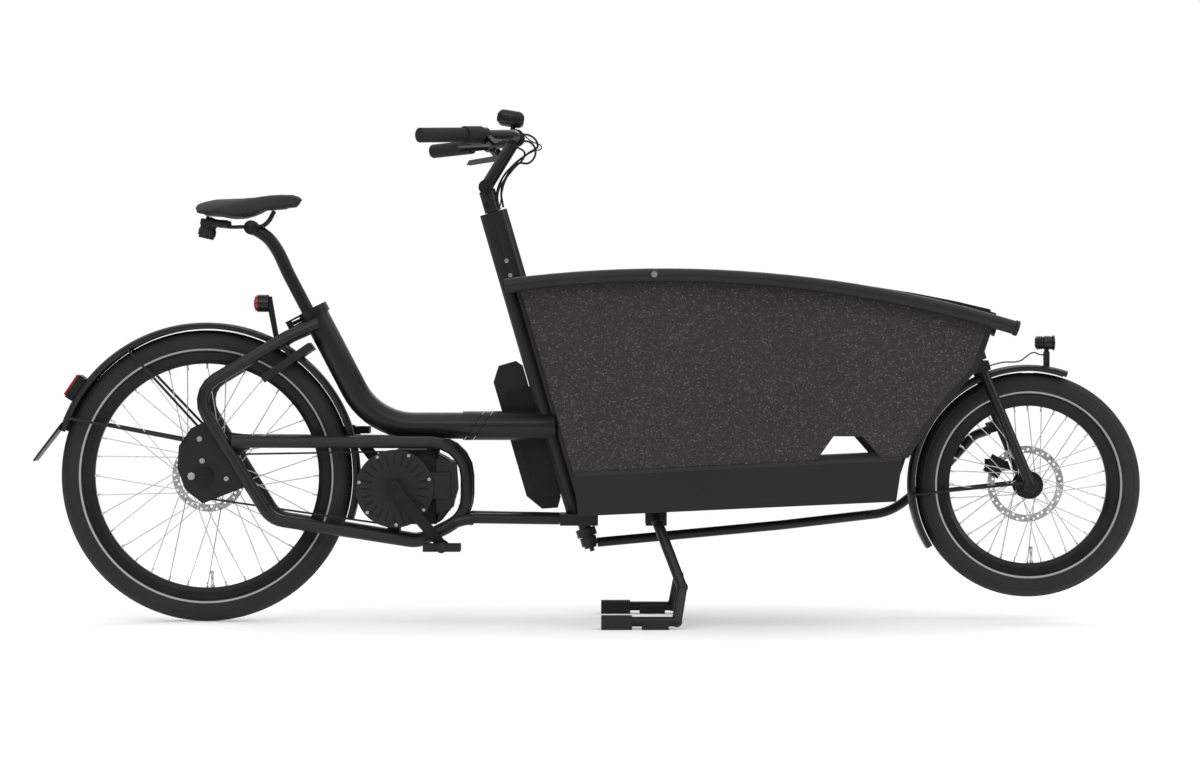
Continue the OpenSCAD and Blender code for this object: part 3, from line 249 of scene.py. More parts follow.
class Finish:
    """A material with its tree, its shader and the shared grain, ready for more nodes."""

    def __init__(self, name, dark, light, rough, grain, cloud=6.0, bump=0.2, depth=0.0002, **fixed):
        self.material = bpy.data.materials.new(name)
        self.material.use_nodes = True
        self.tree = self.material.node_tree
        self.shader = self.tree.nodes["Principled BSDF"]
        self.shader.inputs["Specular IOR Level"].default_value = BLACK_PAINT_SPECULAR
        self.place = self.add("ShaderNodeTexCoord").outputs["Object"]
        self.grain = self.add("ShaderNodeGroup")
        self.grain.node_tree = grain_group
        self.link(self.place, self.grain.inputs["Place"])
        values = {"Grain Scale": grain, "Cloud Scale": cloud, "Dark": dark, "Light": light,
            "Rough Low": rough[0], "Rough High": rough[1]}
        for socket, value in values.items():
            self.grain.inputs[socket].default_value = value
        self.link(self.grain.outputs["Colour"], self.shader.inputs["Base Color"])
        self.link(self.grain.outputs["Roughness"], self.shader.inputs["Roughness"])
        self.bump = self.add("ShaderNodeBump")
        self.bump.inputs["Strength"].default_value = bump
        self.bump.inputs["Distance"].default_value = depth
        self.link(self.grain.outputs["Height"], self.bump.inputs["Height"])
        self.link(self.bump.outputs["Normal"], self.shader.inputs["Normal"])
        for socket, value in fixed.items():
            self.shader.inputs[socket.replace("_", " ")].default_value = value

    def add(self, kind):
        return self.tree.nodes.new(kind)

    def link(self, a, b):
        self.tree.links.new(a, b)

    def math(self, operation, a, b=None):
        """A maths node. Each of a and b is a number or another node's output."""
        node = self.add("ShaderNodeMath")
        node.operation = operation
        for socket, value in zip(node.inputs, (a, b)):
            if value is None:
                continue
            if isinstance(value, (int, float)):
                socket.default_value = value
            else:
                self.link(value, socket)
        return node.outputs[0]


# %% Painted and moulded blacks
frame_paint = Finish("frame_powder_coat", grey(0.0085), grey(0.014), (0.34, 0.44), 1400, 5, 0.12,
    0.0002, Coat_Weight=0.08, Coat_Roughness=0.3).material
cast_alloy = Finish("cast_black_alloy", grey(0.010), grey(0.019), (0.42, 0.58), 900, 9, 0.3,
    0.0003).material
machined_alloy = Finish("anodised_black_alloy", grey(0.010), grey(0.018), (0.28, 0.4), 1600, 12, 0.1,
    0.0001, Metallic=0.35).material
guard_plastic = Finish("guard_plastic", grey(0.009), grey(0.015), (0.36, 0.5), 1100, 7, 0.2,
    0.0002).material
moulded_plastic = Finish("moulded_plastic", grey(0.010), grey(0.018), (0.5, 0.68), 800, 8, 0.5,
    0.0003).material
tray_paint = Finish("tray_powder_coat", grey(0.009), grey(0.014), (0.4, 0.5), 1300, 4, 0.15,
    0.0002).material
rail_paint = Finish("rail_soft_plastic", grey(0.010), grey(0.017), (0.42, 0.54), 1000, 6, 0.3,
    0.0002).material
floor_board = Finish("box_floor_board", grey(0.018), grey(0.030), (0.6, 0.8), 260, 9, 0.6,
    0.0006).material
grip_rubber = Finish("grip_rubber", grey(0.012), grey(0.02), (0.66, 0.82), 700, 10, 0.6,
    0.0004).material
belt_rubber = Finish("belt_rubber", grey(0.014), grey(0.024), (0.55, 0.7), 900, 30, 0.4,
    0.0002).material
hose_skin = Finish("hose_skin", grey(0.012), grey(0.018), (0.4, 0.52), 900, 20, 0.15, 0.0002).material
pad_rubber = Finish("stand_pad_rubber", grey(0.014), grey(0.026), (0.7, 0.9), 420, 18, 0.9,
    0.0006).material
print("painted finishes ready")

# %% [markdown]
# Bare steel is bright only where it reflects something bright, so it is a metal with a brushed
# roughness. The discs and spokes are the only pale things on the bicycle.

# %% Bare metal
spoke_steel = Finish("spoke_steel", grey(0.5), grey(0.66), (0.22, 0.36), 1500, 40, 0.1, 0.0001,
    Metallic=1.0).material
disc_steel = Finish("disc_steel", grey(0.42, 0.04), grey(0.6, 0.04), (0.24, 0.4), 700, 30, 0.25, 0.0002,
    Metallic=1.0).material
bolt_steel = Finish("bolt_steel", grey(0.55), grey(0.7), (0.2, 0.34), 900, 60, 0.1, 0.0001,
    Metallic=1.0).material

# %% [markdown]
# ## Bead foam
# The box is moulded from foam beads a few millimetres across, fused in the mould. Each bead
# keeps its own shade, and a thin darker line stays where beads meet. Voronoi cells give both:
# the cell's own colour sets the shade, and the distance to the cell's edge sets the line.

# %% Bead foam
BEADS_PER_METRE = 300.0
foam = Finish("bead_foam", grey(0.022, 0.07), grey(0.042, 0.09), (0.5, 0.66), 420, 5, 0.5, 0.0008,
    Sheen_Weight=0.12, Sheen_Roughness=0.5)
beads = foam.add("ShaderNodeTexVoronoi")
beads.inputs["Scale"].default_value = BEADS_PER_METRE
foam.link(foam.place, beads.inputs["Vector"])
shade = foam.add("ShaderNodeSeparateColor")
foam.link(beads.outputs["Color"], shade.inputs["Color"])
bright = foam.math("POWER", shade.outputs["Red"], 5.0)
seam = foam.add("ShaderNodeTexVoronoi")
seam.feature = "DISTANCE_TO_EDGE"
seam.inputs["Scale"].default_value = BEADS_PER_METRE
foam.link(foam.place, seam.inputs["Vector"])
crown = foam.add("ShaderNodeMapRange")
crown.inputs["From Max"].default_value = 0.28
foam.link(seam.outputs["Distance"], crown.inputs["Value"])
bead_tint = foam.add("ShaderNodeMix")
bead_tint.data_type = "RGBA"
bead_tint.inputs["B"].default_value = (0.15, 0.13, 0.112, 1)
foam.link(bright, bead_tint.inputs["Factor"])
foam.link(foam.grain.outputs["Colour"], bead_tint.inputs["A"])
seam_tint = foam.add("ShaderNodeMix")
seam_tint.data_type = "RGBA"
seam_tint.inputs["A"].default_value = grey(0.010, 0.05)
foam.link(crown.outputs["Result"], seam_tint.inputs["Factor"])
foam.link(bead_tint.outputs["Result"], seam_tint.inputs["B"])
foam.link(seam_tint.outputs["Result"], foam.shader.inputs["Base Color"])
foam.link(crown.outputs["Result"], foam.bump.inputs["Height"])
print("foam beads per metre:", BEADS_PER_METRE)

# %% [markdown]
# ## Tyre rubber
# A tyre's wall is matt, with fine raised rings round it and one pale reflective band. Both are
# read from the distance to the axle, so a Mapping node centres the pattern on each wheel.

# %% Tyre rubber
def tyre_rubber(name, wheel, band_radius, band_width, tread_radius):
    """Rubber with its rings and its band measured from the middle of this wheel."""
    rubber = Finish(name, grey(0.013), grey(0.026), (0.62, 0.8), 600, 12, 0.5, 0.0004)
    centre = middle(wheel)
    shift = rubber.add("ShaderNodeMapping")
    shift.inputs["Location"].default_value = (-centre.x, 0, -centre.z)
    rubber.link(rubber.place, shift.inputs["Vector"])
    split = rubber.add("ShaderNodeSeparateXYZ")
    rubber.link(shift.outputs["Vector"], split.inputs["Vector"])
    squares = rubber.math("ADD", rubber.math("MULTIPLY", split.outputs["X"], split.outputs["X"]),
        rubber.math("MULTIPLY", split.outputs["Z"], split.outputs["Z"]))
    radius = rubber.math("SQRT", squares)
    off = rubber.math("ABSOLUTE", rubber.math("SUBTRACT", radius, band_radius))
    band = rubber.math("LESS_THAN", off, band_width / 2)
    paint = rubber.add("ShaderNodeMix")
    paint.data_type = "RGBA"
    paint.inputs["B"].default_value = grey(0.42)
    rubber.link(band, paint.inputs["Factor"])
    rubber.link(rubber.grain.outputs["Colour"], paint.inputs["A"])
    rubber.link(paint.outputs["Result"], rubber.shader.inputs["Base Color"])
    rings = rubber.math("SINE", rubber.math("MULTIPLY", radius, TAU / 0.0032))
    wall = rubber.math("MULTIPLY", rings, rubber.math("LESS_THAN", radius, tread_radius))
    height = rubber.math("ADD", rubber.math("MULTIPLY", wall, 0.35), rubber.grain.outputs["Height"])
    rubber.link(height, rubber.bump.inputs["Height"])
    return rubber.material


rear_radius = (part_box("rear_tyre")[1].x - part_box("rear_tyre")[0].x) / 2
front_radius = (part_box("front_tyre")[1].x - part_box("front_tyre")[0].x) / 2
BAND_WIDTH = 0.0042
BAND_DROP = 0.0445
FRONT_BAND_EXTRA = 0.001
rear_rubber = tyre_rubber("rear_tyre_rubber", "rear_tyre", rear_radius - BAND_DROP, BAND_WIDTH,
    rear_radius - 0.016)
front_rubber = tyre_rubber("front_tyre_rubber", "front_tyre", front_radius - BAND_DROP - FRONT_BAND_EXTRA,
    BAND_WIDTH, front_radius - 0.016)
print("tyre radii:", round(rear_radius, 4), round(front_radius, 4))

# %% Leather, glass and lamps
saddle_skin = Finish("saddle_skin", grey(0.009), grey(0.015), (0.5, 0.64), 520, 9, 0.6, 0.0005).material
red_lens = Finish("red_lens", (0.28, 0.006, 0.006, 1), (0.42, 0.012, 0.01, 1), (0.08, 0.16), 300, 60,
    0.1, 0.0002, Coat_Weight=0.8).material
clear_lens = Finish("clear_lens", grey(0.5), grey(0.75), (0.04, 0.1), 260, 40, 0.2, 0.0003,
    Coat_Weight=1.0, Metallic=0.6).material
screen_glass = Finish("screen_glass", grey(0.004), grey(0.007), (0.05, 0.1), 300, 20, 0.02, 0.0001,
    Coat_Weight=1.0).material
lamp_plastic = Finish("lamp_body_plastic", grey(0.009), grey(0.014), (0.24, 0.34), 900, 12, 0.1,
    0.0002).material

# %% Finish of each node
FINISHES = (
    (frame_paint, "main_tube left_loop right_loop rear_brackets coupling_sleeve front_tube lower_tubes "
        "head_rail front_plate steering_column stem handlebar fork tie_rod stand_bracket stand_legs"),
    (machined_alloy, "battery_cradle seat_collar collar_lever lever_clamps brake_lever_right "
        "brake_lever_left cranks rear_rim front_rim rear_hub front_hub rear_caliper front_caliper "
        "rear_axle_set front_axle_pin seatpost"),
    (cast_alloy, "motor_casing motor_cover"),
    (moulded_plastic, "battery ring_lock pedal_right pedal_left"),
    (guard_plastic, "rear_mudguard front_mudguard"),
    (rail_paint, "box_rim"),
    (tray_paint, "box_tray"),
    (floor_board, "floor_panel"),
    (foam.material, "box_foam"),
    (rear_rubber, "rear_tyre"),
    (front_rubber, "front_tyre"),
    (grip_rubber, "grips twist_shifter"),
    (hose_skin, "control_cables"),
    (pad_rubber, "stand_pads"),
    (belt_rubber, "drive_belt"),
    (spoke_steel, "rear_spokes front_spokes"),
    (disc_steel, "rear_disc front_disc rear_pulley"),
    (saddle_skin, "saddle"),
    (lamp_plastic, "headlight display rear_lamps"),
)
finished = set()
for material, names in FINISHES:
    for name in names.split():
        for part in nodes[name].material_slots:
            part.material = material
        finished.add(name)
print("nodes without a finish:", sorted(set(nodes) - finished))

# %% [markdown]
# ## Places
# Every place below is measured from an axle or from a node's own box, so that a piece follows
# the frame if the frame is built to another size.

# %% Axles
rear_axle = middle("rear_tyre")
front_axle = middle("front_tyre")


def from_rear(x, y, z):
    """A point measured from the middle of the rear wheel, in metres."""
    return rear_axle + Vector((x, y, z))


def from_front(x, y, z):
    """A point measured from the middle of the front wheel, in metres."""
    return front_axle + Vector((x, y, z))


print("wheelbase:", round((front_axle - rear_axle).length, 3))

# %% [markdown]
# ## Tyres
# A tyre is one section carried round the axle. A circle is drawn at the crown, spun through a
# full turn, and then the faces of the tread are inset and pushed out to leave blocks with
# grooves between them. The blocks reach the tyre's true radius and no further.

# %% One tyre
SECTION_SIDES = 28
BLOCK_HEIGHT = 0.0015
TREAD_HALF_ANGLE = 58.0


def make_tyre(name, node, body, rubber, turns):
    """A tyre with tread blocks, as wide and as tall as its node."""
    low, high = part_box(node)
    centre = (low + high) / 2
    outer = (high.x - low.x) / 2
    half_width = (high.y - low.y) / 2
    section = half_width - BLOCK_HEIGHT / 2
    ring = outer - BLOCK_HEIGHT - section
    deselect()
    bpy.ops.mesh.primitive_circle_add(vertices=SECTION_SIDES, radius=section,
        location=centre + Vector((0, 0, ring)), rotation=(0, math.pi / 2, 0))
    piece = bpy.context.object
    bpy.ops.object.transform_apply(location=True, rotation=True, scale=True)
    bpy.ops.object.mode_set(mode="EDIT")
    bpy.ops.mesh.select_all(action="SELECT")
    bpy.ops.mesh.spin(steps=turns, angle=TAU, center=centre, axis=(0, 1, 0))
    bpy.ops.mesh.select_all(action="SELECT")
    bpy.ops.mesh.remove_doubles(threshold=0.00005)
    bpy.ops.mesh.normals_make_consistent(inside=False)
    bpy.ops.mesh.select_all(action="DESELECT")
    bpy.ops.object.mode_set(mode="OBJECT")
    blocks = 0
    for face in piece.data.polygons:
        arm = face.center - centre
        reach = math.hypot(arm.x, arm.z)
        lean = math.degrees(math.atan2(abs(arm.y), reach - ring))
        around = int(round(math.degrees(math.atan2(arm.z, arm.x)) / 360 * turns))
        row = int(lean // (360 / SECTION_SIDES))
        if lean < TREAD_HALF_ANGLE and (around + row) % 3 != 0:
            face.select = True
            blocks += 1
    bpy.ops.object.mode_set(mode="EDIT")
    bpy.ops.mesh.inset(thickness=0.0007, depth=BLOCK_HEIGHT, use_even_offset=True)
    bpy.ops.object.mode_set(mode="OBJECT")
    print(name, "tread faces:", blocks, "outer radius:", round(outer, 4))
    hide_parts(node)
    return settle(piece, name, body, rubber, angle=40)


make_tyre("rear_tyre_with_tread", "rear_tyre", "rear_wheel", rear_rubber, 174)
make_tyre("front_tyre_with_tread", "front_tyre", "front_wheel", front_rubber, 132)

# %% [markdown]
# ## Saddle
# A saddle is a moulded foam pad under a thin skin: broad and rounded behind, narrow in front,
# with wings that turn down at its sides. A subdivided cube is rounded into a pad, pulled to
# these widths and heights, and then blown up a little as cloth so that its skin goes taut.

# %% Saddle stations: share of the length, half width, top and lowest edge above the pad's base
SADDLE_STATIONS = (
    (0.00, 0.066, 0.020, -0.004), (0.05, 0.090, 0.025, -0.006), (0.13, 0.101, 0.031, -0.007),
    (0.22, 0.100, 0.034, -0.009), (0.33, 0.088, 0.035, -0.016), (0.42, 0.070, 0.036, -0.019),
    (0.53, 0.050, 0.038, -0.012), (0.68, 0.036, 0.043, 0.003), (0.80, 0.031, 0.047, 0.004),
    (0.93, 0.026, 0.048, 0.010), (1.00, 0.018, 0.040, 0.020))
SADDLE_CUTS = 15
PAD_HOLLOW = 0.014


def between_stations(t):
    """Half width, top and lowest edge at a share of the saddle's length."""
    t = min(max(t, 0.0), 1.0)
    for a, b in zip(SADDLE_STATIONS, SADDLE_STATIONS[1:]):
        if t <= b[0]:
            k = (t - a[0]) / (b[0] - a[0])
            k = k * k * (3 - 2 * k)
            return [a[i] + (b[i] - a[i]) * k for i in (1, 2, 3)]


def make_saddle():
    """A voxel-smoothed pad pulled to the stations and swollen as cloth."""
    low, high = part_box("saddle")
    deselect()
    bpy.ops.mesh.primitive_cube_add(size=2, location=(0, 0, 0))
    pad = bpy.context.object
    bpy.ops.object.mode_set(mode="EDIT")
    bpy.ops.mesh.select_all(action="SELECT")
    bpy.ops.mesh.subdivide(number_cuts=SADDLE_CUTS)
    bpy.ops.object.mode_set(mode="OBJECT")
    for vertex in pad.data.vertices:
        u, v, w = vertex.co
        end = 1 - 0.10 * v * v - 0.06 * w * w
        half, top, edge = between_stations((u * end + 1) / 2)
        across = v * math.sqrt(1 - w * w / 2)
        up = w * math.sqrt(1 - v * v / 2)
        side = min(1.0, abs(across))
        crown = top - 0.020 * side ** 3
        under = edge + PAD_HOLLOW * (1 - side ** 2)
        height = under + (crown - under) * (up + 1) / 2
        vertex.co = (low.x + (high.x - low.x) * (u * end + 1) / 2, half * across, low.z + height)
    pick(pad)
    remesh = pad.modifiers.new("even_skin", "REMESH")
    remesh.mode = "VOXEL"
    remesh.voxel_size = 0.004
    bpy.ops.object.modifier_apply(modifier="even_skin")
    start = [vertex.co.copy() for vertex in pad.data.vertices]
    inflate(pad, start)
    pick(pad)
    smooth = pad.modifiers.new("soft_skin", "SMOOTH")
    smooth.iterations = 6
    smooth.factor = 0.5
    bpy.ops.object.modifier_apply(modifier="soft_skin")
    finer = pad.modifiers.new("finer_skin", "SUBSURF")
    finer.levels = finer.render_levels = 1
    bpy.ops.object.modifier_apply(modifier="finer_skin")
    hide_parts("saddle")
    return settle(pad, "saddle_pad", "seat", saddle_skin, angle=60)


SWELL_LIMIT = 0.003
SWELL_FRAMES = 14


def inflate(pad, start):
    """Blows the skin up as cloth, and keeps each point within a few millimetres of its start."""
    pick(pad)
    cloth = pad.modifiers.new("skin_cloth", "CLOTH")
    cloth.settings.quality = 5
    cloth.settings.mass = 0.3
    cloth.settings.tension_stiffness = cloth.settings.compression_stiffness = 60
    cloth.settings.bending_stiffness = 8
    cloth.settings.use_pressure = True
    cloth.settings.uniform_pressure_force = 4
    cloth.settings.effector_weights.gravity = 0
    scene = bpy.context.scene
    for number in range(1, SWELL_FRAMES + 1):
        scene.frame_set(number)
    bpy.ops.object.modifier_apply(modifier="skin_cloth")
    scene.frame_set(1)
    for vertex, home in zip(pad.data.vertices, start):
        move = vertex.co - home
        if move.length > SWELL_LIMIT:
            vertex.co = home + move.normalized() * SWELL_LIMIT


make_saddle()

# %% [markdown]
# Under the pad, two rubber springs carry the rear of the saddle, and the rails bend down to the
# post's clamp. Their rods are curves with a round section, turned into meshes.

# %% Curved rods and hoses
def bent_rod(points, radius, sides=4):
    """A round rod or hose that runs smoothly through these points, as a mesh."""
    deselect()
    data = bpy.data.curves.new("rod", "CURVE")
    data.dimensions = "3D"
    data.bevel_depth = radius
    data.bevel_resolution = sides
    data.use_fill_caps = True
    data.resolution_u = 8
    line = data.splines.new("BEZIER")
    line.bezier_points.add(len(points) - 1)
    for knot, place in zip(line.bezier_points, points):
        knot.co = place
        knot.handle_left_type = knot.handle_right_type = "AUTO"
    rod = bpy.data.objects.new("rod", data)
    bpy.context.scene.collection.objects.link(rod)
    pick(rod)
    bpy.ops.object.convert(target="MESH")
    return bpy.context.object


def turned(place, axis, profile, sides=32):
    """A turned part: a cylinder for each (radius, length) of its profile, one after another."""
    axis = Vector(axis).normalized()
    turn = axis.to_track_quat("Z", "Y").to_euler()
    at = Vector(place)
    rings = []
    for radius, length in profile:
        deselect()
        bpy.ops.mesh.primitive_cylinder_add(vertices=sides, radius=radius, depth=length,
            location=at + axis * length / 2, rotation=turn)
        ring = bpy.context.object
        edge = ring.modifiers.new("edge", "BEVEL")
        edge.width = min(radius, length) * 0.2
        edge.segments = 2
        edge.limit_method = "ANGLE"
        apply_all(ring)
        rings.append(ring)
        at = at + axis * length
    return join(rings)


# %% Saddle springs and rails
def make_saddle_springs():
    """Two turned rubber springs, each with a rubber arm that runs forward."""
    low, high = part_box("saddle")
    parts = []
    for side in (-1, 1):
        parts.append(turned((low.x + 0.026, side * 0.045, low.z - 0.053), (0.2, 0, 1),
            ((0.013, 0.005), (0.0155, 0.018), (0.0135, 0.005), (0.0155, 0.016))))
        parts.append(bent_rod([(low.x + 0.030, side * 0.045, low.z - 0.010),
            (low.x + 0.052, side * 0.040, low.z - 0.018),
            (low.x + 0.078, side * 0.030, low.z - 0.020)], 0.0085))
    springs = join(parts)
    return settle(springs, "saddle_springs", "seat", moulded_plastic)


make_saddle_springs()

# %% [markdown]
# ## Screws
# A screw is a turned head with a round socket pressed into it. The socket is the head's top
# face inset and pushed in. All screws that ride on one body are joined into one piece. To seat
# a screw, a ray is sent at the part that carries it, and the head stands where the ray lands.

# %% One screw, and the place that carries it
def landing(node, start, way):
    """Where a ray from this start first meets the node."""
    hit, place = nodes[node].ray_cast(Vector(start), Vector(way).normalized())[:2]
    if not hit:
        print("no landing on", node, "from", [round(v, 3) for v in start])
        return None
    return place


def screw(place, axis, radius, height=0.003, sides=24):
    """A cap screw whose head stands on this place, or nothing where there is no place."""
    if place is None:
        return None
    axis = Vector(axis).normalized()
    deselect()
    bpy.ops.mesh.primitive_cylinder_add(vertices=sides, radius=radius, depth=height,
        location=Vector(place) + axis * height / 2, rotation=axis.to_track_quat("Z", "Y").to_euler())
    head = bpy.context.object
    bpy.ops.object.transform_apply(location=True, rotation=True, scale=True)
    bpy.ops.object.mode_set(mode="EDIT")
    bpy.ops.mesh.select_all(action="DESELECT")
    bpy.ops.object.mode_set(mode="OBJECT")
    for face in head.data.polygons:
        face.select = face.normal.dot(axis) > 0.9
    bpy.ops.object.mode_set(mode="EDIT")
    bpy.ops.mesh.inset(thickness=radius * 0.12, depth=0)
    bpy.ops.mesh.inset(thickness=radius * 0.33, depth=0)
    bpy.ops.mesh.inset(thickness=radius * 0.04, depth=-height * 0.6)
    bpy.ops.object.mode_set(mode="OBJECT")
    return head


# %% Screws on the frame
RIGHT = Vector((0, -1, 0))
FAR_RIGHT = -0.6
crank_centre = middle("cranks")
MOTOR_SCREWS = 7
MOTOR_SCREW_RING = 0.082
frame_screws = []
for k in range(MOTOR_SCREWS):
    angle = TAU * (k + 0.3) / MOTOR_SCREWS
    spot = (crank_centre.x + MOTOR_SCREW_RING * math.cos(angle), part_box("motor_cover")[0].y,
        crank_centre.z + MOTOR_SCREW_RING * math.sin(angle))
    frame_screws.append(screw(spot, RIGHT, 0.0038, 0.002))
for x, z, radius in ((-0.011, 0.086, 0.0062), (-0.005, 0.036, 0.0062), (0.050, -0.005, 0.0055),
        (-0.030, 0.001, 0.0085)):
    spot = landing("rear_brackets", from_rear(x, FAR_RIGHT, z), (0, 1, 0))
    frame_screws.append(screw(spot, RIGHT, radius, 0.003))
rail_spot = landing("box_rim", from_front(-0.863, FAR_RIGHT, 0.478), (0, 1, 0))
frame_screws.append(screw(rail_spot, RIGHT, 0.007, 0.0025))
for x, z in ((-1.198, 0.514), (-1.1895, 0.481)):
    spot = landing("head_rail", from_front(x, FAR_RIGHT, z), (0, 1, 0))
    frame_screws.append(screw(spot, RIGHT, 0.005, 0.002))
settle(join([head for head in frame_screws if head]), "frame_screws", "frame", bolt_steel)

# %% Bolts on the cranks and the stem
crank_bolts = [screw(landing("cranks", (crank_centre.x, side * 0.6, crank_centre.z), (0, -side, 0)),
    (0, side, 0), 0.0085, 0.002) for side in (-1, 1)]
settle(join([head for head in crank_bolts if head]), "crank_bolts", "crankset", machined_alloy)
stem_low, stem_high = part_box("stem")
stem_bolts = [screw(landing("stem", (x, FAR_RIGHT, z), (0, 1, 0)), RIGHT, 0.0062, 0.002)
    for x, z in ((stem_low.x + 0.020, stem_low.z + 0.052), (stem_low.x + 0.020, stem_low.z + 0.018))]
settle(join([head for head in stem_bolts if head]), "stem_bolts", "handlebars", machined_alloy)

# %% [markdown]
# ## Brake discs
# A disc is a thin steel ring on six arms, drilled so that it stays cool. A ring is cut from a
# cylinder by a smaller cylinder, then all holes are cut at once by a joined set of cutters.

# %% One brake disc
DISC_BAND = 0.0165
DISC_ARMS = 6
HOLES_AROUND = 42


def cylinder_across(centre, radius, depth, sides):
    """A plain cylinder along Y."""
    deselect()
    bpy.ops.mesh.primitive_cylinder_add(vertices=sides, radius=radius, depth=depth, location=centre,
        rotation=(math.pi / 2, 0, 0))
    piece = bpy.context.object
    bpy.ops.object.transform_apply(location=True, rotation=True, scale=True)
    return piece


def cut_away(piece, cutter):
    """Cuts one piece by another, and deletes the cutter."""
    pick(piece)
    cut = piece.modifiers.new("cut", "BOOLEAN")
    cut.object = cutter
    cut.solver = "EXACT"
    bpy.ops.object.modifier_apply(modifier="cut")
    bpy.data.objects.remove(cutter)
    return piece


def make_disc(name, node, body):
    """A drilled disc as wide and as thick as its node."""
    low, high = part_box(node)
    centre = (low + high) / 2
    outer = (high.x - low.x) / 2
    thick = high.y - low.y
    ring = cylinder_across(centre, outer, thick, 144)
    cut_away(ring, cylinder_across(centre, outer - DISC_BAND, thick * 3, 96))
    parts = [ring]
    inner = outer - DISC_BAND + 0.002
    for k in range(DISC_ARMS):
        angle = TAU * k / DISC_ARMS
        lean = angle + 0.5
        foot = centre + Vector((math.cos(angle), 0, math.sin(angle))) * 0.024
        tip = centre + Vector((math.cos(lean), 0, math.sin(lean))) * inner
        deselect()
        bpy.ops.mesh.primitive_cube_add(size=1, location=(foot + tip) / 2,
            scale=((tip - foot).length, thick * 0.9, 0.0055),
            rotation=(0, -math.atan2(tip.z - foot.z, tip.x - foot.x), 0))
        parts.append(bpy.context.object)
    hub_ring = cylinder_across(centre, 0.029, thick, 64)
    cut_away(hub_ring, cylinder_across(centre, 0.021, thick * 3, 48))
    parts.append(hub_ring)
    disc = join(parts)
    bpy.ops.object.transform_apply(location=True, rotation=True, scale=True)
    cutters = []
    for k in range(HOLES_AROUND):
        angle = TAU * k / HOLES_AROUND
        reach = outer - DISC_BAND * (0.28, 0.5, 0.72)[k % 3]
        spot = centre + Vector((math.cos(angle), 0, math.sin(angle))) * reach
        cutters.append(cylinder_across(spot, 0.0031, thick * 3, 10))
    cut_away(disc, join(cutters))
    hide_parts(node)
    return settle(disc, name, body, disc_steel)


make_disc("rear_drilled_disc", "rear_disc", "rear_wheel")
make_disc("front_drilled_disc", "front_disc", "front_wheel")

# %% [markdown]
# ## Spoke nipples and valves
# Each spoke ends in a small brass nipple at the rim. The spokes' own far ends say where these
# go, so there is one for every spoke.

# %% Nipples and valves
def make_nipples(name, node, body):
    """A nipple at the outer end of each spoke, and one valve."""
    centre = middle(node)
    ends = {}
    reaches = [math.hypot(v.co.x - centre.x, v.co.z - centre.z) for v in nodes[node].data.vertices]
    furthest = max(reaches)
    for vertex, reach in zip(nodes[node].data.vertices, reaches):
        if reach > furthest - 0.004:
            arm = vertex.co - centre
            key = round(math.degrees(math.atan2(arm.z, arm.x)) / 2)
            ends.setdefault(key, []).append(vertex.co.copy())
    groups, last = [], None
    for key in sorted(ends):
        if last is not None and key - last <= 1:
            groups[-1] += ends[key]
        else:
            groups.append(list(ends[key]))
        last = key
    parts = []
    for group in groups:
        tip = sum(group, Vector()) / len(group)
        inward = centre - tip
        inward.y = 0
        parts.append(turned(tip - inward.normalized() * 0.002, inward, ((0.0028, 0.004), (0.002, 0.009)), 8))
    print(name, "nipples:", len(parts))
    down = Vector((0.05, 0, -1)).normalized()
    foot = centre + down * furthest
    parts.append(turned(foot, -down, ((0.0048, 0.006), (0.003, 0.020), (0.004, 0.012)), 16))
    return settle(join(parts), name, body, bolt_steel)


make_nipples("rear_nipples_and_valve", "rear_spokes", "rear_wheel")
make_nipples("front_nipples_and_valve", "front_spokes", "front_wheel")

# %% [markdown]
# ## Lamps
# Lenses are separate clear or red mouldings with a stepped face, set into dull housings.

# %% Lenses
TAIL_LAMP_OFFSET = (0.118, 0, 0.396)
tail_lens = turned(from_rear(*TAIL_LAMP_OFFSET), (-1, 0, 0), ((0.0195, 0.004), (0.0165, 0.003),
    (0.011, 0.002), (0.006, 0.001)), 48)
REFLECTOR_ANGLE = math.radians(146)
guard_out = Vector((math.cos(REFLECTOR_ANGLE), 0, math.sin(REFLECTOR_ANGLE)))
reflector_place = rear_axle + guard_out * (rear_radius + 0.0360 + 0.0020)
deselect()
bpy.ops.mesh.primitive_cube_add(size=1, location=reflector_place, scale=(0.005, 0.046, 0.054),
    rotation=(0, -REFLECTOR_ANGLE, 0))
reflector = bpy.context.object
bpy.ops.object.transform_apply(location=True, rotation=True, scale=True)
bpy.ops.object.mode_set(mode="EDIT")
bpy.ops.mesh.select_all(action="DESELECT")
bpy.ops.object.mode_set(mode="OBJECT")
for face in reflector.data.polygons:
    face.select = face.normal.dot(guard_out) > 0.9
bpy.ops.object.mode_set(mode="EDIT")
bpy.ops.mesh.subdivide(number_cuts=7)
bpy.ops.mesh.inset(thickness=0.0008, depth=0.0012, use_individual=True)
bpy.ops.object.mode_set(mode="OBJECT")
settle(join([reflector, tail_lens]), "red_lenses", "frame", red_lens)

light_low, light_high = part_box("headlight")
light_face = Vector((light_high.x - 0.0035, 0, light_high.z - 0.0205))
front_lens = turned(light_face, (1, 0, 0), ((0.0145, 0.0015), (0.0125, 0.001), (0.008, 0.001)), 48)
settle(front_lens, "headlight_lens", "lamp", clear_lens)
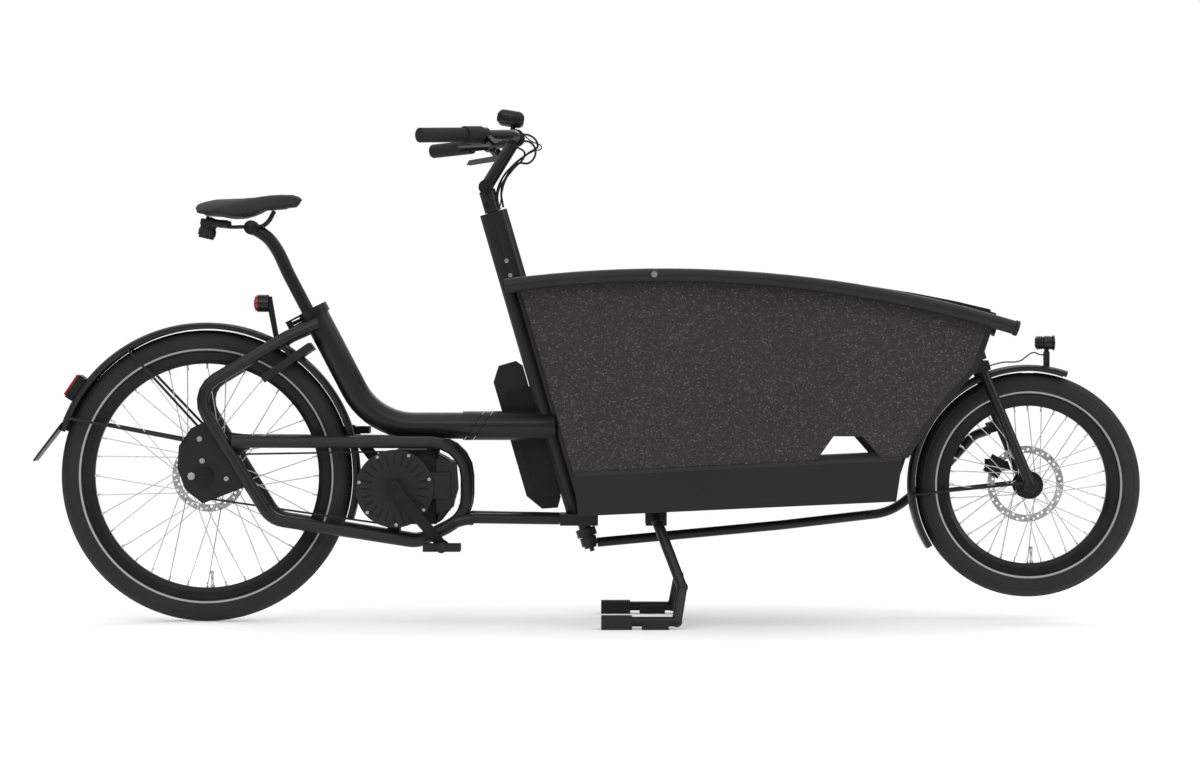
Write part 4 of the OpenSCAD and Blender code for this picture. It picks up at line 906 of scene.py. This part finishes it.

# %% [markdown]
# ## Display
# The display is a rounded pod on the stem with a dark glass face towards the rider. A cube is
# bevelled until its corners are soft, and a thin bevelled slab on its rear face is the glass.

# %% Display pod
display_low, display_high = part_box("display")
POD_SIZE = Vector((0.060, 0.076, 0.036))
pod_place = Vector((display_low.x + 0.029, 0, display_high.z - 0.0235))
deselect()
bpy.ops.mesh.primitive_cube_add(size=1, location=pod_place, scale=POD_SIZE, rotation=(0, math.radians(9), 0))
pod = bpy.context.object
bpy.ops.object.transform_apply(location=True, rotation=True, scale=True)
round_edges = pod.modifiers.new("round_edges", "BEVEL")
round_edges.width = 0.013
round_edges.segments = 6
apply_all(pod)
pod_arm = bent_rod([(pod_place.x + 0.006, 0.020, pod_place.z - 0.012),
    (pod_place.x + 0.004, 0.030, pod_place.z - 0.034),
    (pod_place.x + 0.008, 0.031, middle("handlebar").z + 0.014)], 0.006)
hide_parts("display")
settle(join([pod, pod_arm]), "display_pod", "handlebars", lamp_plastic, angle=60)
deselect()
bpy.ops.mesh.primitive_cube_add(size=1, location=pod_place + Vector((-POD_SIZE.x / 2 - 0.0003, 0, 0.004)),
    scale=(0.0016, POD_SIZE.y * 0.66, POD_SIZE.z * 0.5), rotation=(0, math.radians(9), 0))
screen = bpy.context.object
bpy.ops.object.transform_apply(location=True, rotation=True, scale=True)
screen_edge = screen.modifiers.new("edge", "BEVEL")
screen_edge.width = 0.0006
apply_all(screen)
settle(screen, "display_glass", "handlebars", screen_glass)

# %% [markdown]
# ## Hoses and cables
# Two brake hoses and two thin wires leave the bar, swing forward of the stem in a small loop and
# drop into the head of the frame. Each is a curve through a few places with a round section.

# %% Hoses
hose_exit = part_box("control_cables")[0].z
bar_clamp = Vector((stem_high.x - 0.0195, 0, stem_high.z - 0.0195))


def hose(points, radius):
    """Points are (forward, left, up) from the middle of the bar's stem clamp."""
    return bent_rod([bar_clamp + Vector(p) for p in points], radius)


drop = hose_exit - bar_clamp.z
hoses = [
    hose([(-0.004, -0.060, -0.016), (0.018, -0.050, 0.006), (0.050, -0.030, -0.018), (0.030, -0.016, -0.034),
        (-0.004, -0.010, -0.060), (-0.036, -0.008, -0.100), (-0.050, -0.006, drop)], 0.0025),
    hose([(0.000, 0.060, -0.016), (0.020, 0.048, -0.004), (0.044, 0.020, -0.028), (0.030, 0.006, -0.056),
        (0.004, 0.002, -0.058), (-0.020, 0.000, -0.084), (-0.034, 0.002, -0.120),
        (-0.030, 0.004, drop)], 0.0025),
    hose([(-0.030, -0.090, -0.010), (0.004, -0.064, -0.024), (0.020, -0.034, -0.040),
        (-0.010, -0.018, -0.076),
        (-0.040, -0.014, -0.120), (-0.042, -0.012, drop)], 0.0022),
    hose([(0.004, 0.020, 0.020), (0.034, 0.008, -0.006), (0.058, 0.000, -0.022), (0.040, -0.004, -0.030),
        (0.010, -0.006, -0.048), (-0.026, 0.008, -0.100), (-0.038, 0.006, drop)], 0.0015)]
bundle = join(hoses)
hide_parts("control_cables")
settle(bundle, "hoses_and_cables", "handlebars", hose_skin, angle=60)

# %% [markdown]
# ## Motor side shell
# A moulded shell closes the space between the round motor cover and the frame loops. Its outline
# starts as a flat many-sided face, which is extruded across the bicycle and bevelled.

# %% Shells beside the motor cover
def plate_across(outline, near, far, edge):
    """A plate along Y. Its outline is (forward, up) from the crank axle, and edge is its bevel."""
    deselect()
    bpy.ops.mesh.primitive_circle_add(vertices=len(outline), radius=1, fill_type="NGON")
    plate = bpy.context.object
    for vertex, (forward, up) in zip(plate.data.vertices, outline):
        vertex.co = (crank_centre.x + forward, near, crank_centre.z + up)
    bpy.ops.object.mode_set(mode="EDIT")
    bpy.ops.mesh.select_all(action="SELECT")
    bpy.ops.mesh.extrude_region_move(TRANSFORM_OT_translate={"value": (0, far - near, 0)})
    bpy.ops.mesh.select_all(action="SELECT")
    bpy.ops.mesh.normals_make_consistent(inside=False)
    bpy.ops.object.mode_set(mode="OBJECT")
    bevel = plate.modifiers.new("edge", "BEVEL")
    bevel.width = edge
    bevel.segments = 3
    bevel.limit_method = "ANGLE"
    apply_all(plate)
    return plate


front_shell = plate_across(((0.097, 0.081), (0.124, 0.066), (0.139, 0.036), (0.142, -0.004), (0.131, -0.042),
    (0.108, -0.072), (0.097, -0.080)), -0.062, 0.050, 0.006)
inner_shell = plate_across(((0.000, 0.089), (0.096, 0.089), (0.096, -0.083), (0.000, -0.083)), -0.034, 0.050,
    0.004)
shell_fins = [plate_across(((0.099, z), (0.128, z), (0.128, z + 0.0035), (0.099, z + 0.0035)),
    -0.0645, -0.060,
    0.0008) for z in (-0.050, -0.041, -0.032, -0.023, -0.014)]
settle(join([front_shell, inner_shell] + shell_fins), "motor_side_shell", "frame", cast_alloy)

# %% [markdown]
# ## Joints in the tubes
# The sleeve that couples the two halves of the frame has slanted seams. A liner inside keeps
# them dark. Behind the box the lower tubes end in short turned sockets on the frame loops.

# %% Liner and sockets
sleeve_low, sleeve_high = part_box("coupling_sleeve")
LINER_GAP = 0.0095
liner = turned((sleeve_low.x + 0.004, 0, middle("coupling_sleeve").z), (1, 0, 0),
    (((sleeve_high.z - sleeve_low.z) / 2 - LINER_GAP, sleeve_high.x - sleeve_low.x - 0.008),), 64)
settle(liner, "sleeve_liner", "frame", frame_paint)
lower_low, lower_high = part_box("lower_tubes")
SOCKET_RADIUS = 0.0128
socket_height = lower_low.z + SOCKET_RADIUS + 0.0006
sockets = [bent_rod([(lower_low.x + 0.010, side * 0.0740, socket_height),
    (lower_low.x - 0.008, side * 0.0745, socket_height - 0.001),
    (lower_low.x - 0.034, side * 0.0755, socket_height - 0.008)], SOCKET_RADIUS) for side in (-1, 1)]
for side in (-1, 1):
    sockets.append(turned((lower_low.x + 0.002, side * 0.0745, socket_height), (1, 0, 0),
        ((SOCKET_RADIUS + 0.0012, 0.004),)))
settle(join(sockets), "lower_tube_sockets", "frame", frame_paint, angle=60)

# %% [markdown]
# ## Seat post
# The post is a straight tube whose head bends back to a round clamp. The clamp holds the two
# saddle rails between grooved discs, and one bolt across it sets the saddle's tilt.

# %% Post, clamp and rails
POST_RADIUS = 0.0148
POST_LEAN = math.radians(27.576)
POST_LENGTH = 0.308
POST_STEPS = (0.0, 0.1, 0.2, 0.29)


def make_seatpost():
    """A straight tube with a bent head, a round clamp and two rails."""
    low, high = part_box("seatpost")
    saddle_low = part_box("saddle")[0]
    lean = Vector((-math.sin(POST_LEAN), 0, math.cos(POST_LEAN)))
    foot = Vector((high.x - POST_RADIUS * lean.z, 0, low.z - POST_RADIUS * lean.x))
    top = foot + lean * POST_LENGTH
    clamp = Vector((top.x - 0.038, 0, saddle_low.z - 0.028))
    bend = top + Vector((-0.012, 0, 0.003))
    straight = [foot + lean * step for step in POST_STEPS]
    post = bent_rod(straight + [bend, clamp], POST_RADIUS, sides=8)
    discs = [turned(clamp + Vector((0, side * 0.004, 0)), (0, side, 0), ((0.0165, 0.010), (0.0150, 0.003),
        (0.0165, 0.008), (0.0105, 0.003), (0.0062, 0.003)), 48) for side in (-1, 1)]
    rails = [bent_rod([(saddle_low.x + 0.045, side * 0.034, saddle_low.z - 0.020),
        (saddle_low.x + 0.075, side * 0.026, saddle_low.z - 0.026),
        clamp + Vector((-0.012, side * 0.020, 0.002)),
        clamp + Vector((0.018, side * 0.020, 0.002)), clamp + Vector((0.034, side * 0.019, 0.010)),
        (clamp.x + 0.052, side * 0.017, saddle_low.z + 0.010)], 0.0036) for side in (-1, 1)]
    piece = join([post] + discs + rails)
    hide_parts("seatpost")
    return settle(piece, "seat_post_with_clamp", "seat", machined_alloy, angle=50)


make_seatpost()

# %% [markdown]
# ## Headlight
# The lamp is a short ribbed barrel on a foot that pivots between two ears. Its wire loops down
# to the mudguard and runs back along it.

# %% Headlight barrel and wire
BARREL_RADIUS = 0.0158
barrel_middle = Vector((light_low.x, 0, light_high.z - 0.0205))
barrel = turned(barrel_middle, (1, 0, 0), ((0.0120, 0.003), (BARREL_RADIUS, 0.003), (0.0135, 0.002),
    (BARREL_RADIUS, 0.003), (0.0135, 0.002), (BARREL_RADIUS, 0.003), (0.0135, 0.002), (BARREL_RADIUS, 0.022),
    (0.0175, 0.004)), 64)
foot_plate = plate_across(((0, 0), (0.012, 0), (0.010, 0.026), (0.002, 0.026)), -0.0075, 0.0075, 0.0015)
foot_x = (light_low.x + light_high.x) / 2 - crank_centre.x - 0.003
foot_place = Vector((foot_x, 0, light_low.z - crank_centre.z))
foot_plate.location = foot_place
headlight = join([barrel, foot_plate])
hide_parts("headlight")
settle(headlight, "headlight_barrel", "lamp", lamp_plastic)
pivot = Vector((light_low.x + 0.0255, 0, light_high.z - 0.047))
wire = bent_rod([pivot + Vector(p) for p in ((-0.004, 0.0045, -0.001), (-0.012, 0.0045, -0.001),
    (-0.030, 0.0040, 0.004), (-0.044, 0.0030, -0.004), (-0.060, 0.0020, -0.0150), (-0.100, 0.0010, -0.0185),
    (-0.130, 0.0000, -0.0260))], 0.0016)
settle(wire, "headlight_wire", "front_fork", hose_skin, angle=60)

# %% End of the scene
print("scene built")
